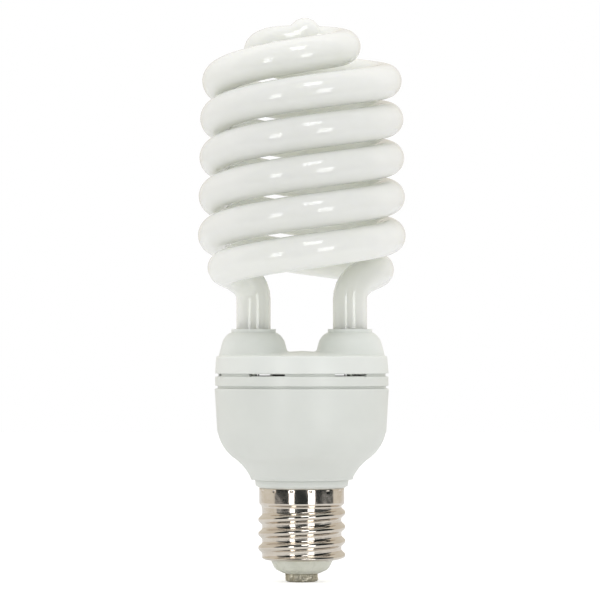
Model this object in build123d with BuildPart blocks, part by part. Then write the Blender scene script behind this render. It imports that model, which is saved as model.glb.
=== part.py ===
from build123d import *
import math
import os

# Spiral fluorescent lamp with a screw base, in millimetres.
# The origin is the bottom of the centre contact, +Z runs up the lamp's axis, and
# the two legs of the glass tube stand on the X axis.

# Clearances between pieces
slip = 0.15             # radial play where one turned piece enters another
glass_play = 0.4        # room round the glass in the cover's collars
skin = 0.05             # thinnest film between two round faces that meet

# Centre contact and the insulator above it
contact_diameter = 15.0
contact_height = 3.7
contact_rounding = 0.9
contact_notches = 14
contact_notch_radius = 0.8
eyelet_diameter = 6.0
eyelet_bore = 3.0
eyelet_length = 6.0
insulator_foot_diameter = 16.0
insulator_diameter = 28.0
insulator_height = 6.0
insulator_bulge = 1.1
insulator_flange_diameter = 30.8
insulator_flange_height = 2.4
insulator_bore = 12.0
insulator_floor = 2.2

# Screw shell: one thin sheet with a rolled thread of the large screw size
thread_crest_diameter = 39.3
thread_root_diameter = 35.8
thread_pitch = 6.35
thread_turns = 2.85
thread_start = 3.75     # height of the first crest above the shell's lip
thread_flank = 0.36     # half the ridge's foot, as a share of the pitch
ridge_shoulder = 0.8    # where the ridge leaves the root, as a share of its half foot
ridge_lean = 0.15       # how far the ridge's sides lean in at its foot
shell_sheet = 0.45
shell_height = 32.5
shell_band_diameter = 38.4
shell_band_height = 7.3
band_step = 1.0
lip_width = 3.0
lip_height = 1.35

# Collar that joins the screw shell to the housing
collar_diameter = 42.0
collar_height = 3.6
collar_wall = 2.6
collar_spigot_depth = 6.0
collar_tongue_height = 3.2

# Bowl-shaped lower housing
neck_diameter = 46.3
neck_hem = 0.9
waist_radius = 30.2
waist_rise = 9.4
shoulder_rise = 22.7
bowl_draft = 1.05       # how much wider the mouth is than the shoulder
mouth_lip = 0.18        # how far the mouth stands out from the vent ring
bowl_height = 40.9
housing_wall = 2.0
waist_slope = 35.5      # degrees above level where the bowl turns from hollow to round
ledge_width = 2.6
ledge_height = 3.0

# Vent ring between two narrow grooves
groove_depth = 1.1
lower_groove_height = 1.2
ring_radius = 38.97
ring_height = 4.2
upper_groove_height = 1.4
ring_wall = 1.9
ring_spigot_height = 4.0
vent_slot_height = 0.8
vent_slot_span = 26.0
vent_slot_count = 6
vent_mirror_angle = -84.4
vent_hole_diameter = 1.7
vent_hole_turn = 42.3
side_vent_turn = 80.6

# Top cover with a dome and a collar round each leg
rim_height = 7.8
rim_lip = 0.07          # how far the rim's foot stands out from the vent ring
rim_draft = 0.54        # how much smaller the rim is at its top
rim_rounding = 0.8
cover_wall = 2.0
cover_crown = 2.3
dome_foot_radius = 15.7
dome_side_radius = 14.2
dome_top_radius = 10.6
dome_side_rise = 5.7
dome_rise = 10.4
socket_radius = 10.0
socket_height = 1.7
dome_wall = 1.8

# Glass tube: two strands wound as one double spiral, with the bridge on top
tube_diameter = 15.4
tube_wall = 1.0
coil_pitch = 35.0
coil_top_radius = 37.4
coil_bottom_radius = 39.3
coil_taper_height = 100.0
bridge_above_base = 242.4
bridge_flatness = 0.4   # radians over which the bridge stays level
arm_opening = 3.95      # radians over which an arm opens out to the full radius
arm_fullness = 1.75
arm_heading = 0.283     # radians from the X axis to the bridge
arm_steps = 8
coil_step = math.radians(30)
coil_turns_nominal = 3
bend_start = math.radians(35)
bend_start_pull = 1.5
bend_end_pull = 1.3
leg_offset = 21.7
bend_drop = 14.4        # from the coil's end down to the top of the straight leg
lower_share = 0.205     # share of the coil's length in each lower turn
upper_share = 0.205     # and in each upper turn; the bridge has the rest
leg_end_depth = 15.5    # how far each leg runs below the top of its collar
cold_bump_radius = 7.3
cold_bump_rise = 4.0
cold_bump_offset = 1.3

# Glass stems and electrodes in the tube's ends
stem_flare = 1.2
leg_bore_headroom = 1.5
stem_radius = 3.0
stem_height = 11.0
pinch_width = 6.4
pinch_thickness = 2.4
pinch_height = 4.0
exhaust_tube_diameter = 3.2
exhaust_tube_length = 6.0
electrode_wire = 0.6
electrode_spacing = 4.6
electrode_rise = 6.0
filament_diameter = 1.1
cement_height = 6.0
cement_radius = 9.4

# Ballast board and what it carries, all hanging towards the screw base
board_play = 1.45       # from the board's edge to the inside of the housing's mouth
board_thickness = 1.6
pin_size = 0.8
pin_height = 6.0
pin_gap = 1.0           # bare end of each electrode lead above the board
capacitor_diameter = 18.0
capacitor_headroom = 1.95   # from the collar up to the capacitors, where a lead passes
capacitor_spacing = 19.0
capacitor_rounding = 0.8
core_width = 25.0
core_depth = 7.0
core_height = 18.0
core_limb = 6.5
core_yoke = 3.6
core_distance = 21.0
winding_overhang = 4.2
filter_choke_diameter = 11.0
filter_choke_height = 13.0
filter_choke_waist = 6.0
filter_choke_place = 17.0
drum_flange = 2.0
drive_ring_outer = 12.0
drive_ring_inner = 6.0
drive_ring_height = 5.0
drive_ring_place = (20.0, -14.0)
transistor_width = 10.0
transistor_thickness = 4.4
transistor_height = 15.0
transistor_tab = 1.3
transistor_tab_height = 6.0
transistor_leg = 3.0
transistor_place = (19.0, 16.0)
film_width = 13.0
film_thickness = 6.0
film_height = 11.0
film_rounding = 1.2
film_place = 24.5
corner_film_place = (-21.0, -14.0)
diode_diameter = 2.7
diode_length = 5.0
diode_pitch = 6.0
diode_row = 26.5
resistor_diameter = 2.4
resistor_length = 6.5
resistor_pitch = 8.0
resistor_row = -28.5
fuse_diameter = 4.0
fuse_length = 11.0
fuse_bottom = 22.0
wire_diameter = 1.0
lead_bend = 2.5
lead_place = (12.0, 11.0)
shell_lead_angle = 135.5
shell_lead_reach = 4.05     # from the upright part of the lead to the shell's wall
weld_below_collar = 0.6

# Heights that follow from the sizes above
insulator_top = contact_height + insulator_height
shell_bottom = insulator_top
shell_top = shell_bottom + shell_height
collar_top = shell_top + collar_height
bowl_bottom = collar_top
bowl_top = bowl_bottom + bowl_height
ring_bottom = bowl_top + lower_groove_height
ring_top = ring_bottom + ring_height
rim_bottom = ring_top + upper_groove_height
rim_top = rim_bottom + rim_height
cover_top = rim_top + cover_crown
dome_top = rim_top + dome_rise
socket_top = dome_top + socket_height
leg_end = socket_top - leg_end_depth
groove_radius = ring_radius - groove_depth
mouth_radius = ring_radius + mouth_lip
shoulder_radius = mouth_radius - bowl_draft
rim_bottom_radius = ring_radius + rim_lip
rim_top_radius = rim_bottom_radius - rim_draft
tube_radius = tube_diameter / 2
board_bottom = bowl_top - ring_spigot_height - board_thickness - slip
board_top = board_bottom + board_thickness
board_diameter = 2 * (mouth_radius - housing_wall - board_play)
capacitor_length = board_bottom - collar_top - collar_tongue_height - capacitor_headroom
solder_top = contact_rounding + contact_height
shell_weld_height = shell_top - collar_spigot_depth - weld_below_collar

os.makedirs("parts", exist_ok=True)


def save(piece, name):
    piece.part.label = name
    export_step(piece.part, f"parts/{name}.step")


def half_turn(point):
    return Vector(-point.X, -point.Y, point.Z)


# Centre contact: a soldered disc with a crimped edge and an eyelet into the insulator
with BuildPart() as centre_contact:
    with BuildSketch(Plane.XY):
        Circle(contact_diameter / 2)
        with PolarLocations(contact_diameter / 2 + contact_notch_radius / 2, contact_notches):
            Circle(contact_notch_radius, mode=Mode.SUBTRACT)
    extrude(amount=contact_height)
    chamfer(centre_contact.faces().sort_by(Axis.Z)[0].edges(), contact_rounding / 2)
    with BuildSketch(Plane.XY.offset(contact_height)):
        Circle(eyelet_diameter / 2)
    extrude(amount=eyelet_length)
    with Locations((0, 0, 0)):
        Hole(eyelet_bore / 2)

# Solder plug that closes the eyelet round the contact lead
with BuildPart() as contact_solder:
    with BuildSketch(Plane.XY.offset(contact_rounding)):
        Circle(eyelet_bore / 2 - skin)
    extrude(amount=contact_height)

# Insulator: a moulded glass button between the contact and the shell's lip
with BuildPart() as base_insulator:
    with BuildSketch(Plane.XZ):
        with BuildLine():
            foot = (insulator_foot_diameter / 2, contact_height)
            brow = (insulator_diameter / 2, insulator_top)
            middle = (
                (foot[0] + brow[0]) / 2 + insulator_bulge,
                (foot[1] + brow[1]) / 2 - insulator_bulge,
            )
            Line((0, contact_height), foot)
            ThreePointArc(foot, middle, brow)
            Line(brow, (brow[0], brow[1] + shell_sheet + slip))
            flange = insulator_flange_diameter / 2
            Line((brow[0], brow[1] + shell_sheet + slip), (flange, brow[1] + shell_sheet + slip))
            flange_top = brow[1] + shell_sheet + slip + insulator_flange_height
            Line((flange, brow[1] + shell_sheet + slip), (flange, flange_top))
            Line((flange, flange_top), (0, flange_top))
            Line((0, flange_top), (0, contact_height))
        make_face()
    revolve(axis=Axis.Z)
    with BuildSketch(Plane.XY.offset(contact_height + insulator_floor)):
        Circle(insulator_bore / 2)
    extrude(amount=insulator_height + insulator_flange_height + shell_sheet, mode=Mode.SUBTRACT)
    with BuildSketch(Plane.XY.offset(contact_height)):
        Circle(eyelet_diameter / 2 + skin)
    extrude(amount=insulator_floor, mode=Mode.SUBTRACT)


def screw_form(inset, above):
    """The solid that the rolled sheet would enclose, drawn in by inset."""
    root = thread_root_diameter / 2 - inset
    crest = thread_crest_diameter / 2 - inset
    band = shell_band_diameter / 2 - inset
    bottom = shell_bottom + inset
    top = shell_top + above
    band_bottom = shell_top - shell_band_height
    ridge_height = crest - root
    foot_half = thread_pitch * thread_flank
    first = shell_bottom + thread_start
    with BuildPart() as form:
        with BuildSketch(Plane.XZ):
            with BuildLine():
                Line((0, bottom), (root - lip_width, bottom))
                EllipticalCenterArc(
                    (root - lip_width, bottom + lip_height),
                    lip_width,
                    lip_height,
                    start_angle=270,
                    arc_size=90,
                )
                Polyline(
                    (root, bottom + lip_height),
                    (root, band_bottom - band_step),
                    (band, band_bottom),
                    (band, top),
                    (0, top),
                    (0, bottom),
                )
            make_face()
        revolve(axis=Axis.Z)
        with BuildLine(Plane.XY.rotated((0, 0, 90))) as thread_path:
            Helix(
                pitch=thread_pitch,
                height=thread_pitch * thread_turns,
                radius=root,
                center=(0, 0, first),
            )
        with BuildSketch(Plane(origin=(0, root, first), x_dir=(0, 1, 0), z_dir=(1, 0, 0))):
            with BuildLine():
                Spline(
                    (-ridge_height / 3, -foot_half),
                    (0, -foot_half * ridge_shoulder),
                    (ridge_height, 0),
                    (0, foot_half * ridge_shoulder),
                    (-ridge_height / 3, foot_half),
                    tangents=((1, ridge_lean), (-1, ridge_lean)),
                )
                Line((-ridge_height / 3, foot_half), (-ridge_height / 3, -foot_half))
            make_face()
        sweep(path=thread_path.line, is_frenet=True)
    return form.part


# Screw shell: the sheet between the outer form and the same form drawn in by its thickness.
# The thread starts and ends at the back, clear of the lip and of the plain band.
with BuildPart() as screw_shell:
    add(screw_form(0, 0))
    add(screw_form(shell_sheet, shell_sheet), mode=Mode.SUBTRACT)
    with BuildSketch(Plane.XY.offset(shell_bottom - shell_sheet)):
        Circle(insulator_diameter / 2 + slip)
    extrude(amount=3 * shell_sheet, mode=Mode.SUBTRACT)

# Collar: its spigot plugs the screw shell and its tongue registers the housing's neck
with BuildPart() as base_collar:
    spigot_radius = shell_band_diameter / 2 - shell_sheet - slip
    tongue_radius = neck_diameter / 2 - housing_wall - slip
    collar_bore_radius = spigot_radius - collar_wall
    with BuildSketch(Plane.XY.offset(shell_top - collar_spigot_depth)):
        Circle(spigot_radius)
    extrude(amount=collar_spigot_depth)
    with BuildSketch(Plane.XY.offset(shell_top)):
        Circle(collar_diameter / 2)
    extrude(amount=collar_height)
    with BuildSketch(Plane.XY.offset(collar_top)):
        Circle(tongue_radius)
    extrude(amount=collar_tongue_height)
    with BuildSketch(Plane.XY.offset(shell_top - collar_spigot_depth)):
        Circle(collar_bore_radius)
    extrude(
        amount=collar_spigot_depth + collar_height + collar_tongue_height, mode=Mode.SUBTRACT
    )

# Lower housing: a moulded bowl, hollow-sided at the neck and round at the shoulder
with BuildPart() as lower_housing:
    with BuildSketch(Plane.XZ):
        with BuildLine():
            neck = (neck_diameter / 2, bowl_bottom)
            hem_top = (neck_diameter / 2, bowl_bottom + neck_hem)
            waist = (waist_radius, bowl_bottom + waist_rise)
            shoulder = (shoulder_radius, bowl_bottom + shoulder_rise)
            mouth = (mouth_radius, bowl_top)
            slope = math.radians(waist_slope)
            uphill = (math.cos(slope), math.sin(slope))
            Line((0, bowl_bottom), neck)
            Line(neck, hem_top)
            TangentArc(waist, hem_top, tangent=(-uphill[0], -uphill[1]))
            TangentArc(waist, shoulder, tangent=uphill)
            Line(shoulder, mouth)
            Line(mouth, (0, bowl_top))
            Line((0, bowl_top), (0, bowl_bottom))
        make_face()
    revolve(axis=Axis.Z)
    ends = lower_housing.faces().filter_by(GeomType.PLANE).sort_by(Axis.Z)
    offset(amount=-housing_wall, openings=[ends[0], ends[-1]])
    with BuildSketch(Plane.XZ):
        with BuildLine():
            ledge_inner = board_diameter / 2 - ledge_width
            ledge_root = shoulder_radius - housing_wall / 2
            Polyline(
                (ledge_inner, board_bottom),
                (ledge_root, board_bottom),
                (ledge_root, board_bottom - ledge_height - (ledge_root - ledge_inner)),
                (ledge_inner, board_bottom - ledge_height),
                close=True,
            )
        make_face()
    revolve(axis=Axis.Z)

# Vent ring: a band between the housing and the cover, with slots in its upper groove
with BuildPart() as vent_ring:
    wall_lean = (mouth_radius - shoulder_radius) / (bowl_height - shoulder_rise)
    rim_lean = (rim_bottom_radius - rim_top_radius) / (rim_height - cover_wall)
    lower_spigot = mouth_radius - housing_wall - wall_lean * ring_spigot_height - slip
    upper_spigot = rim_bottom_radius - cover_wall - rim_lean * ring_spigot_height - slip
    ring_bore = upper_spigot - ring_wall
    with BuildSketch(Plane.XZ):
        with BuildLine():
            Polyline(
                (ring_bore, bowl_top - ring_spigot_height),
                (lower_spigot, bowl_top - ring_spigot_height),
                (lower_spigot, bowl_top),
                (groove_radius, bowl_top),
                (groove_radius, ring_bottom),
                (ring_radius, ring_bottom),
                (ring_radius, ring_top),
                (groove_radius, ring_top),
                (groove_radius, rim_bottom),
                (upper_spigot, rim_bottom),
                (upper_spigot, rim_bottom + ring_spigot_height),
                (ring_bore, rim_bottom + ring_spigot_height),
                close=True,
            )
        make_face()
    revolve(axis=Axis.Z)
    band_edges = vent_ring.edges().filter_by(GeomType.CIRCLE)
    chamfer(band_edges.filter_by(lambda edge: abs(edge.radius - ring_radius) < skin), slip)
    slot_middle = ring_top + upper_groove_height / 2
    with BuildPart(mode=Mode.PRIVATE) as slot_cutter:
        with BuildSketch(Plane.XZ):
            with Locations((ring_radius, slot_middle)):
                Rectangle(4 * (ring_radius - ring_bore), vent_slot_height)
        revolve(axis=Axis.Z, revolution_arc=vent_slot_span)
    slot_pitch = 360 / vent_slot_count
    first_slot = vent_mirror_angle + slot_pitch / 2 - vent_slot_span / 2
    with PolarLocations(0, vent_slot_count, start_angle=first_slot):
        add(slot_cutter.part, mode=Mode.SUBTRACT)
    for turn in (
        vent_hole_turn,
        -vent_hole_turn,
        side_vent_turn,
        -side_vent_turn,
        180 - vent_hole_turn,
        180 + vent_hole_turn,
    ):
        outward = math.radians(vent_mirror_angle + turn)
        hole_plane = Plane(
            origin=(0, 0, slot_middle), z_dir=(math.cos(outward), math.sin(outward), 0)
        )
        with BuildSketch(hole_plane):
            Circle(vent_hole_diameter / 2)
        extrude(amount=ring_radius + 1, mode=Mode.SUBTRACT)


def dome_form(inset):
    """One dome of the cover about its own axis, drawn in by inset."""
    with BuildPart() as form:
        with BuildSketch(Plane.XZ):
            with BuildLine():
                foot = (dome_foot_radius - inset, rim_top)
                side = (dome_side_radius - inset, rim_top + dome_side_rise)
                top = (dome_top_radius - inset / 2, dome_top - inset)
                Line((foot[0], rim_top - cover_wall - inset), foot)
                Line(foot, side)
                TangentArc(side, top, tangent=(side[0] - foot[0], side[1] - foot[1]))
                Line(top, (0, top[1]))
                Line((0, top[1]), (0, rim_top - cover_wall - inset))
                Line((0, rim_top - cover_wall - inset), (foot[0], rim_top - cover_wall - inset))
            make_face()
        revolve(axis=Axis.Z)
    return form.part


# Top cover: a rimmed crown with two hollow domes, each ending in a collar for a leg
with BuildPart() as top_cover:
    with BuildSketch(Plane.XZ):
        with BuildLine():
            rim_foot = (rim_bottom_radius, rim_bottom)
            rim_side = (rim_top_radius, rim_top - rim_rounding)
            rim_edge = (rim_top_radius - rim_rounding, rim_top)
            Line((0, rim_bottom), rim_foot)
            Line(rim_foot, rim_side)
            TangentArc(rim_side, rim_edge, tangent=(0, 1))
            Line(rim_edge, (0, cover_top))
            Line((0, cover_top), (0, rim_bottom))
        make_face()
    revolve(axis=Axis.Z)
    with Locations((leg_offset, 0, 0), (-leg_offset, 0, 0)):
        add(dome_form(0))
    with BuildSketch(Plane.XY.offset(dome_top)):
        with Locations((leg_offset, 0), (-leg_offset, 0)):
            Circle(socket_radius)
    extrude(amount=socket_height)
    with BuildSketch(Plane.XZ):
        with BuildLine():
            Polyline(
                (0, rim_bottom),
                (rim_bottom_radius - cover_wall, rim_bottom),
                (rim_top_radius - cover_wall, rim_top - cover_wall),
                (0, cover_top - cover_wall),
                close=True,
            )
        make_face()
    revolve(axis=Axis.Z, mode=Mode.SUBTRACT)
    with Locations((leg_offset, 0, 0), (-leg_offset, 0, 0)):
        add(dome_form(dome_wall), mode=Mode.SUBTRACT)
    with BuildSketch(Plane.XY.offset(rim_top)):
        with Locations((leg_offset, 0), (-leg_offset, 0)):
            Circle(tube_radius + glass_play)
    extrude(amount=dome_rise + socket_height, mode=Mode.SUBTRACT)


def strand_point(turned):
    """A point of one strand's centre line after it has turned down from the bridge."""
    opening = min(turned / arm_opening, 1)
    spread = math.sqrt(1 - (1 - opening) ** arm_fullness)
    eased_turn = math.hypot(turned, bridge_flatness) - bridge_flatness
    drop = coil_pitch * eased_turn / (2 * math.pi)
    widening = min(drop / coil_taper_height, 1)
    reach = coil_top_radius + (coil_bottom_radius - coil_top_radius) * widening
    heading = arm_heading - turned
    return Vector(
        reach * spread * math.cos(heading),
        reach * spread * math.sin(heading),
        bridge_above_base - drop,
    )


def strand_turns():
    """Turns at which the centre line is set out: close in the arm, even in the coil."""
    arm = [arm_opening * (step / arm_steps) ** 2 for step in range(1, arm_steps + 1)]
    last = arm_heading + 2 * math.pi * coil_turns_nominal - bend_start
    steps = math.ceil((last - arm[-1]) / coil_step)
    coil = [arm[-1] + (last - arm[-1]) * step / steps for step in range(1, steps + 1)]
    return arm + coil


strand = [strand_point(turned) for turned in strand_turns()]
leg_top = strand[-1].Z - bend_drop
stem_foot = leg_end - stem_flare
stem_top = leg_end + stem_height
electrode_top = stem_top + pinch_height + electrode_rise


def glass_rod(path):
    """Sealed tube that can't be seen into, so it is a solid length along its path."""
    with BuildPart() as rod:
        with BuildSketch(Plane(origin=path @ 0, z_dir=path % 0)):
            Circle(tube_radius)
        sweep(path=path)
    return rod


# The double spiral's centre line: one smooth curve from one strand over the bridge to the other
bridge_top = Vector(0, 0, bridge_above_base)
coil = Spline(*[half_turn(point) for point in reversed(strand)], bridge_top, *strand)

# Bridge and the two arms that open out from it, with the blown bump on top
tube_bridge = glass_rod(coil.trim(lower_share + upper_share, 1 - lower_share - upper_share))
with tube_bridge:
    with Locations((cold_bump_offset, 0, bridge_above_base + cold_bump_rise)):
        Sphere(cold_bump_radius)
save(tube_bridge, "tube_bridge")

# The rest of each strand: an upper turn, then a lower turn that bends down to its leg
for side, leg_x, lower_end, upper_end in (
    ("left", -leg_offset, 0, lower_share),
    ("right", leg_offset, 1, 1 - lower_share),
):
    upper_start = abs(lower_end - lower_share - upper_share)
    upper_line = coil.trim(min(upper_end, upper_start), max(upper_end, upper_start))
    save(glass_rod(upper_line), f"{side}_upper_turn")
    with BuildLine() as lower_line:
        add(coil.trim(min(lower_end, upper_end), max(lower_end, upper_end)))
        downhill = coil % lower_end if lower_end else -(coil % 0)
        Spline(
            coil @ lower_end,
            (leg_x, 0, leg_top),
            tangents=(downhill, (0, 0, -1)),
            tangent_scalars=(bend_start_pull, bend_end_pull),
        )
    save(glass_rod(lower_line.wires()[0]), f"{side}_lower_turn")

    # Straight leg, bored for the stem and the electrode
    with BuildPart() as leg:
        with BuildSketch(Plane.XY.offset(leg_end)):
            with Locations((leg_x, 0)):
                Circle(tube_radius)
        extrude(amount=leg_top - leg_end)
        with BuildSketch(Plane.XY.offset(leg_end)):
            with Locations((leg_x, 0)):
                Circle(tube_radius - tube_wall)
        extrude(amount=electrode_top + leg_bore_headroom - leg_end, mode=Mode.SUBTRACT)
    save(leg, f"{side}_leg")

# Stems: flared glass feet that close the tube's ends and hold the electrodes
for side, leg_x in (("left", -leg_offset), ("right", leg_offset)):
    with BuildPart() as stem:
        with BuildSketch(Plane.XY.offset(stem_foot)):
            with Locations((leg_x, 0)):
                Circle(tube_radius)
        extrude(amount=stem_flare)
        with BuildSketch(Plane.XY.offset(leg_end)):
            with Locations((leg_x, 0)):
                Circle(stem_radius)
        extrude(amount=stem_height)
        with BuildSketch(Plane.XY.offset(stem_top)):
            with Locations((leg_x, 0)):
                RectangleRounded(pinch_width, pinch_thickness, pinch_thickness / 3)
        extrude(amount=pinch_height)
        with BuildSketch(Plane.XY.offset(stem_foot)):
            with Locations((leg_x, 0)):
                Circle(exhaust_tube_diameter / 2)
        extrude(amount=-exhaust_tube_length)
        with BuildSketch(Plane.XY.offset(stem_foot)):
            with Locations((leg_x - electrode_spacing / 2, 0), (leg_x + electrode_spacing / 2, 0)):
                Circle(electrode_wire / 2 + skin)
        extrude(amount=stem_flare + stem_height + pinch_height, mode=Mode.SUBTRACT)
    save(stem, f"{side}_stem")

    with BuildPart() as electrode:
        with BuildSketch(Plane.XY.offset(board_top + pin_gap)):
            with Locations((leg_x - electrode_spacing / 2, 0), (leg_x + electrode_spacing / 2, 0)):
                Circle(electrode_wire / 2)
        extrude(amount=electrode_top - board_top - pin_gap)
        filament_plane = Plane(
            origin=(leg_x - electrode_spacing / 2, 0, electrode_top), z_dir=(1, 0, 0)
        )
        with BuildSketch(filament_plane):
            Circle(filament_diameter / 2)
        extrude(amount=electrode_spacing)
    save(electrode, f"{side}_electrode")

    with BuildPart() as cement:
        with BuildSketch(Plane.XY.offset(dome_top - dome_wall - cement_height)):
            with Locations((leg_x, 0)):
                Circle(cement_radius)
                Circle(tube_radius + skin, mode=Mode.SUBTRACT)
        extrude(amount=cement_height)
    save(cement, f"{side}_cement")

# Ballast board, resting on the housing's ledge under the vent ring
pin_y = pin_size / 2 + electrode_wire / 2 + skin
pin_places = [
    (leg_x + shift, pin_y)
    for leg_x in (-leg_offset, leg_offset)
    for shift in (-electrode_spacing / 2, electrode_spacing / 2)
]
with BuildPart() as ballast_board:
    with BuildSketch(Plane.XY.offset(board_bottom)):
        Circle(board_diameter / 2)
        with Locations(*pin_places):
            Rectangle(pin_size + 2 * skin, pin_size + 2 * skin, mode=Mode.SUBTRACT)
    extrude(amount=board_thickness)

# Four square pins that the electrodes' leads are wrapped on
with BuildPart() as board_pins:
    with BuildSketch(Plane.XY.offset(board_bottom)):
        with Locations(*pin_places):
            Rectangle(pin_size, pin_size)
    extrude(amount=board_thickness + pin_height)

# Two storage capacitors that reach down into the neck
for side, cap_x in (("left", -capacitor_spacing / 2), ("right", capacitor_spacing / 2)):
    with BuildPart() as capacitor:
        with BuildSketch(Plane.XY.offset(board_bottom - capacitor_length)):
            with Locations((cap_x, 0)):
                Circle(capacitor_diameter / 2)
        extrude(amount=capacitor_length)
        fillet(capacitor.edges().filter_by(GeomType.CIRCLE), capacitor_rounding)
    save(capacitor, f"{side}_capacitor")

# Resonant choke: a ferrite core with two windows, and the winding on its middle limb
window_width = (core_width - core_limb * 2) / 2
choke_middle = board_bottom - core_height / 2
with BuildPart() as choke_core:
    with BuildSketch(Plane.XZ.offset(core_distance - core_depth / 2)):
        with Locations((0, choke_middle)):
            Rectangle(core_width, core_height)
        window_shift = (core_limb + window_width) / 2
        with Locations((-window_shift, choke_middle), (window_shift, choke_middle)):
            Rectangle(window_width, core_height - 2 * core_yoke, mode=Mode.SUBTRACT)
    extrude(amount=core_depth)
with BuildPart() as choke_winding:
    winding_height = core_height - 2 * core_yoke - 2 * slip
    with BuildSketch(Plane.XY.offset(choke_middle - winding_height / 2)):
        with Locations((0, -core_distance)):
            RectangleRounded(
                core_limb + 2 * window_width - 2 * slip,
                core_depth + 2 * winding_overhang,
                winding_overhang / 2,
            )
            Rectangle(core_limb + 2 * slip, core_depth + 2 * slip, mode=Mode.SUBTRACT)
    extrude(amount=winding_height)

# Filter choke: a drum core with its winding
with BuildPart() as filter_choke_core:
    with BuildSketch(Plane.XY.offset(board_bottom - filter_choke_height)):
        with Locations((0, filter_choke_place)):
            Circle(filter_choke_diameter / 2)
    extrude(amount=filter_choke_height)
    with BuildSketch(Plane.XY.offset(board_bottom - filter_choke_height + drum_flange)):
        with Locations((0, filter_choke_place)):
            Circle(filter_choke_diameter / 2)
            Circle(filter_choke_waist / 2, mode=Mode.SUBTRACT)
    extrude(amount=filter_choke_height - 2 * drum_flange, mode=Mode.SUBTRACT)
with BuildPart() as filter_choke_winding:
    with BuildSketch(Plane.XY.offset(board_bottom - filter_choke_height + drum_flange)):
        with Locations((0, filter_choke_place)):
            Circle(filter_choke_diameter / 2 - drum_flange / 4)
            Circle(filter_choke_waist / 2 + skin, mode=Mode.SUBTRACT)
    extrude(amount=filter_choke_height - 2 * drum_flange)

# Drive ring: the small ferrite ring that switches the two transistors
with BuildPart() as drive_ring:
    with BuildSketch(Plane.XY.offset(board_bottom - drive_ring_height)):
        with Locations(drive_ring_place):
            Circle(drive_ring_outer / 2)
            Circle(drive_ring_inner / 2, mode=Mode.SUBTRACT)
    extrude(amount=drive_ring_height)
    fillet(drive_ring.edges(), capacitor_rounding)

# Power transistors: tabbed cases on three legs
with BuildPart() as power_transistors:
    case_top = board_bottom - transistor_leg
    case_bottom = case_top - transistor_height + transistor_tab_height
    places = [(-transistor_place[0], transistor_place[1]), transistor_place]
    with BuildSketch(Plane.XY.offset(case_bottom)):
        with Locations(*places):
            Rectangle(transistor_width, transistor_thickness)
    extrude(amount=case_top - case_bottom)
    with BuildSketch(Plane.XY.offset(case_bottom)):
        for place_x, place_y in places:
            with Locations((place_x, place_y + (transistor_thickness - transistor_tab) / 2)):
                Rectangle(transistor_width, transistor_tab)
    extrude(amount=-transistor_tab_height)
    with BuildSketch(Plane.XY.offset(case_top)):
        for place_x, place_y in places:
            with Locations((place_x, place_y)):
                with GridLocations(transistor_width / 4, 1, 3, 1):
                    Rectangle(pin_size, pin_size)
    extrude(amount=transistor_leg)

# Film capacitors: dipped blocks round the board
with BuildPart() as film_capacitors:
    with BuildSketch(Plane.XY.offset(board_bottom - film_height)):
        with Locations((-film_place, 0), (film_place, 0)):
            Rectangle(film_thickness, film_width)
        with Locations(corner_film_place):
            Rectangle(film_width, film_thickness)
    extrude(amount=film_height)
    fillet(film_capacitors.edges(), film_rounding)

# Rectifier diodes in a row under the board
with BuildPart() as rectifier_diodes:
    with Locations((0, diode_row, board_bottom - diode_diameter / 2)):
        with GridLocations(diode_pitch, 1, 4, 1):
            Cylinder(diode_diameter / 2, diode_length, rotation=(0, 90, 0))

# Resistors in a row on the other side
with BuildPart() as resistors:
    with Locations((0, resistor_row, board_bottom - resistor_diameter / 2)):
        with GridLocations(resistor_pitch, 1, 3, 1):
            Cylinder(resistor_diameter / 2, resistor_length, rotation=(0, 90, 0))
    fillet(resistors.edges().filter_by(GeomType.CIRCLE), resistor_diameter / 6)

# Fusible resistor in the contact's lead, standing in the screw shell
with BuildPart() as fuse_resistor:
    with BuildSketch(Plane.XY.offset(fuse_bottom)):
        Circle(fuse_diameter / 2)
    extrude(amount=fuse_length)
    fillet(fuse_resistor.edges().filter_by(GeomType.CIRCLE), fuse_diameter / 5)

# Lead from the fusible resistor down to the solder in the eyelet
with BuildPart() as contact_lead:
    with BuildSketch(Plane.XY.offset(solder_top)):
        Circle(wire_diameter / 2)
    extrude(amount=fuse_bottom - solder_top)

# Lead from the fusible resistor up round the capacitors to the board
lead_turn_height = board_bottom - capacitor_length - wire_diameter
with BuildPart() as fuse_lead:
    with BuildLine() as fuse_route:
        FilletPolyline(
            (0, 0, fuse_bottom + fuse_length),
            (0, 0, lead_turn_height),
            (lead_place[0], lead_place[1], lead_turn_height),
            (lead_place[0], lead_place[1], board_bottom),
            radius=lead_bend,
        )
    with BuildSketch(Plane.XY.offset(fuse_bottom + fuse_length)):
        Circle(wire_diameter / 2)
    sweep(path=fuse_route.line)

# Lead from the board to the inside of the screw shell's plain band
with BuildPart() as shell_lead:
    shell_inside = shell_band_diameter / 2 - shell_sheet - skin
    outward = Vector(1, 0, 0).rotate(Axis.Z, shell_lead_angle)
    upright = outward * (shell_inside - shell_lead_reach)
    with BuildLine() as shell_route:
        FilletPolyline(
            upright + Vector(0, 0, board_bottom),
            upright + Vector(0, 0, shell_weld_height),
            outward * shell_inside + Vector(0, 0, shell_weld_height),
            radius=lead_bend,
        )
    with BuildSketch(Plane(origin=shell_route.line @ 0, z_dir=shell_route.line % 0)):
        Circle(wire_diameter / 2)
    sweep(path=shell_route.line)

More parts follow.
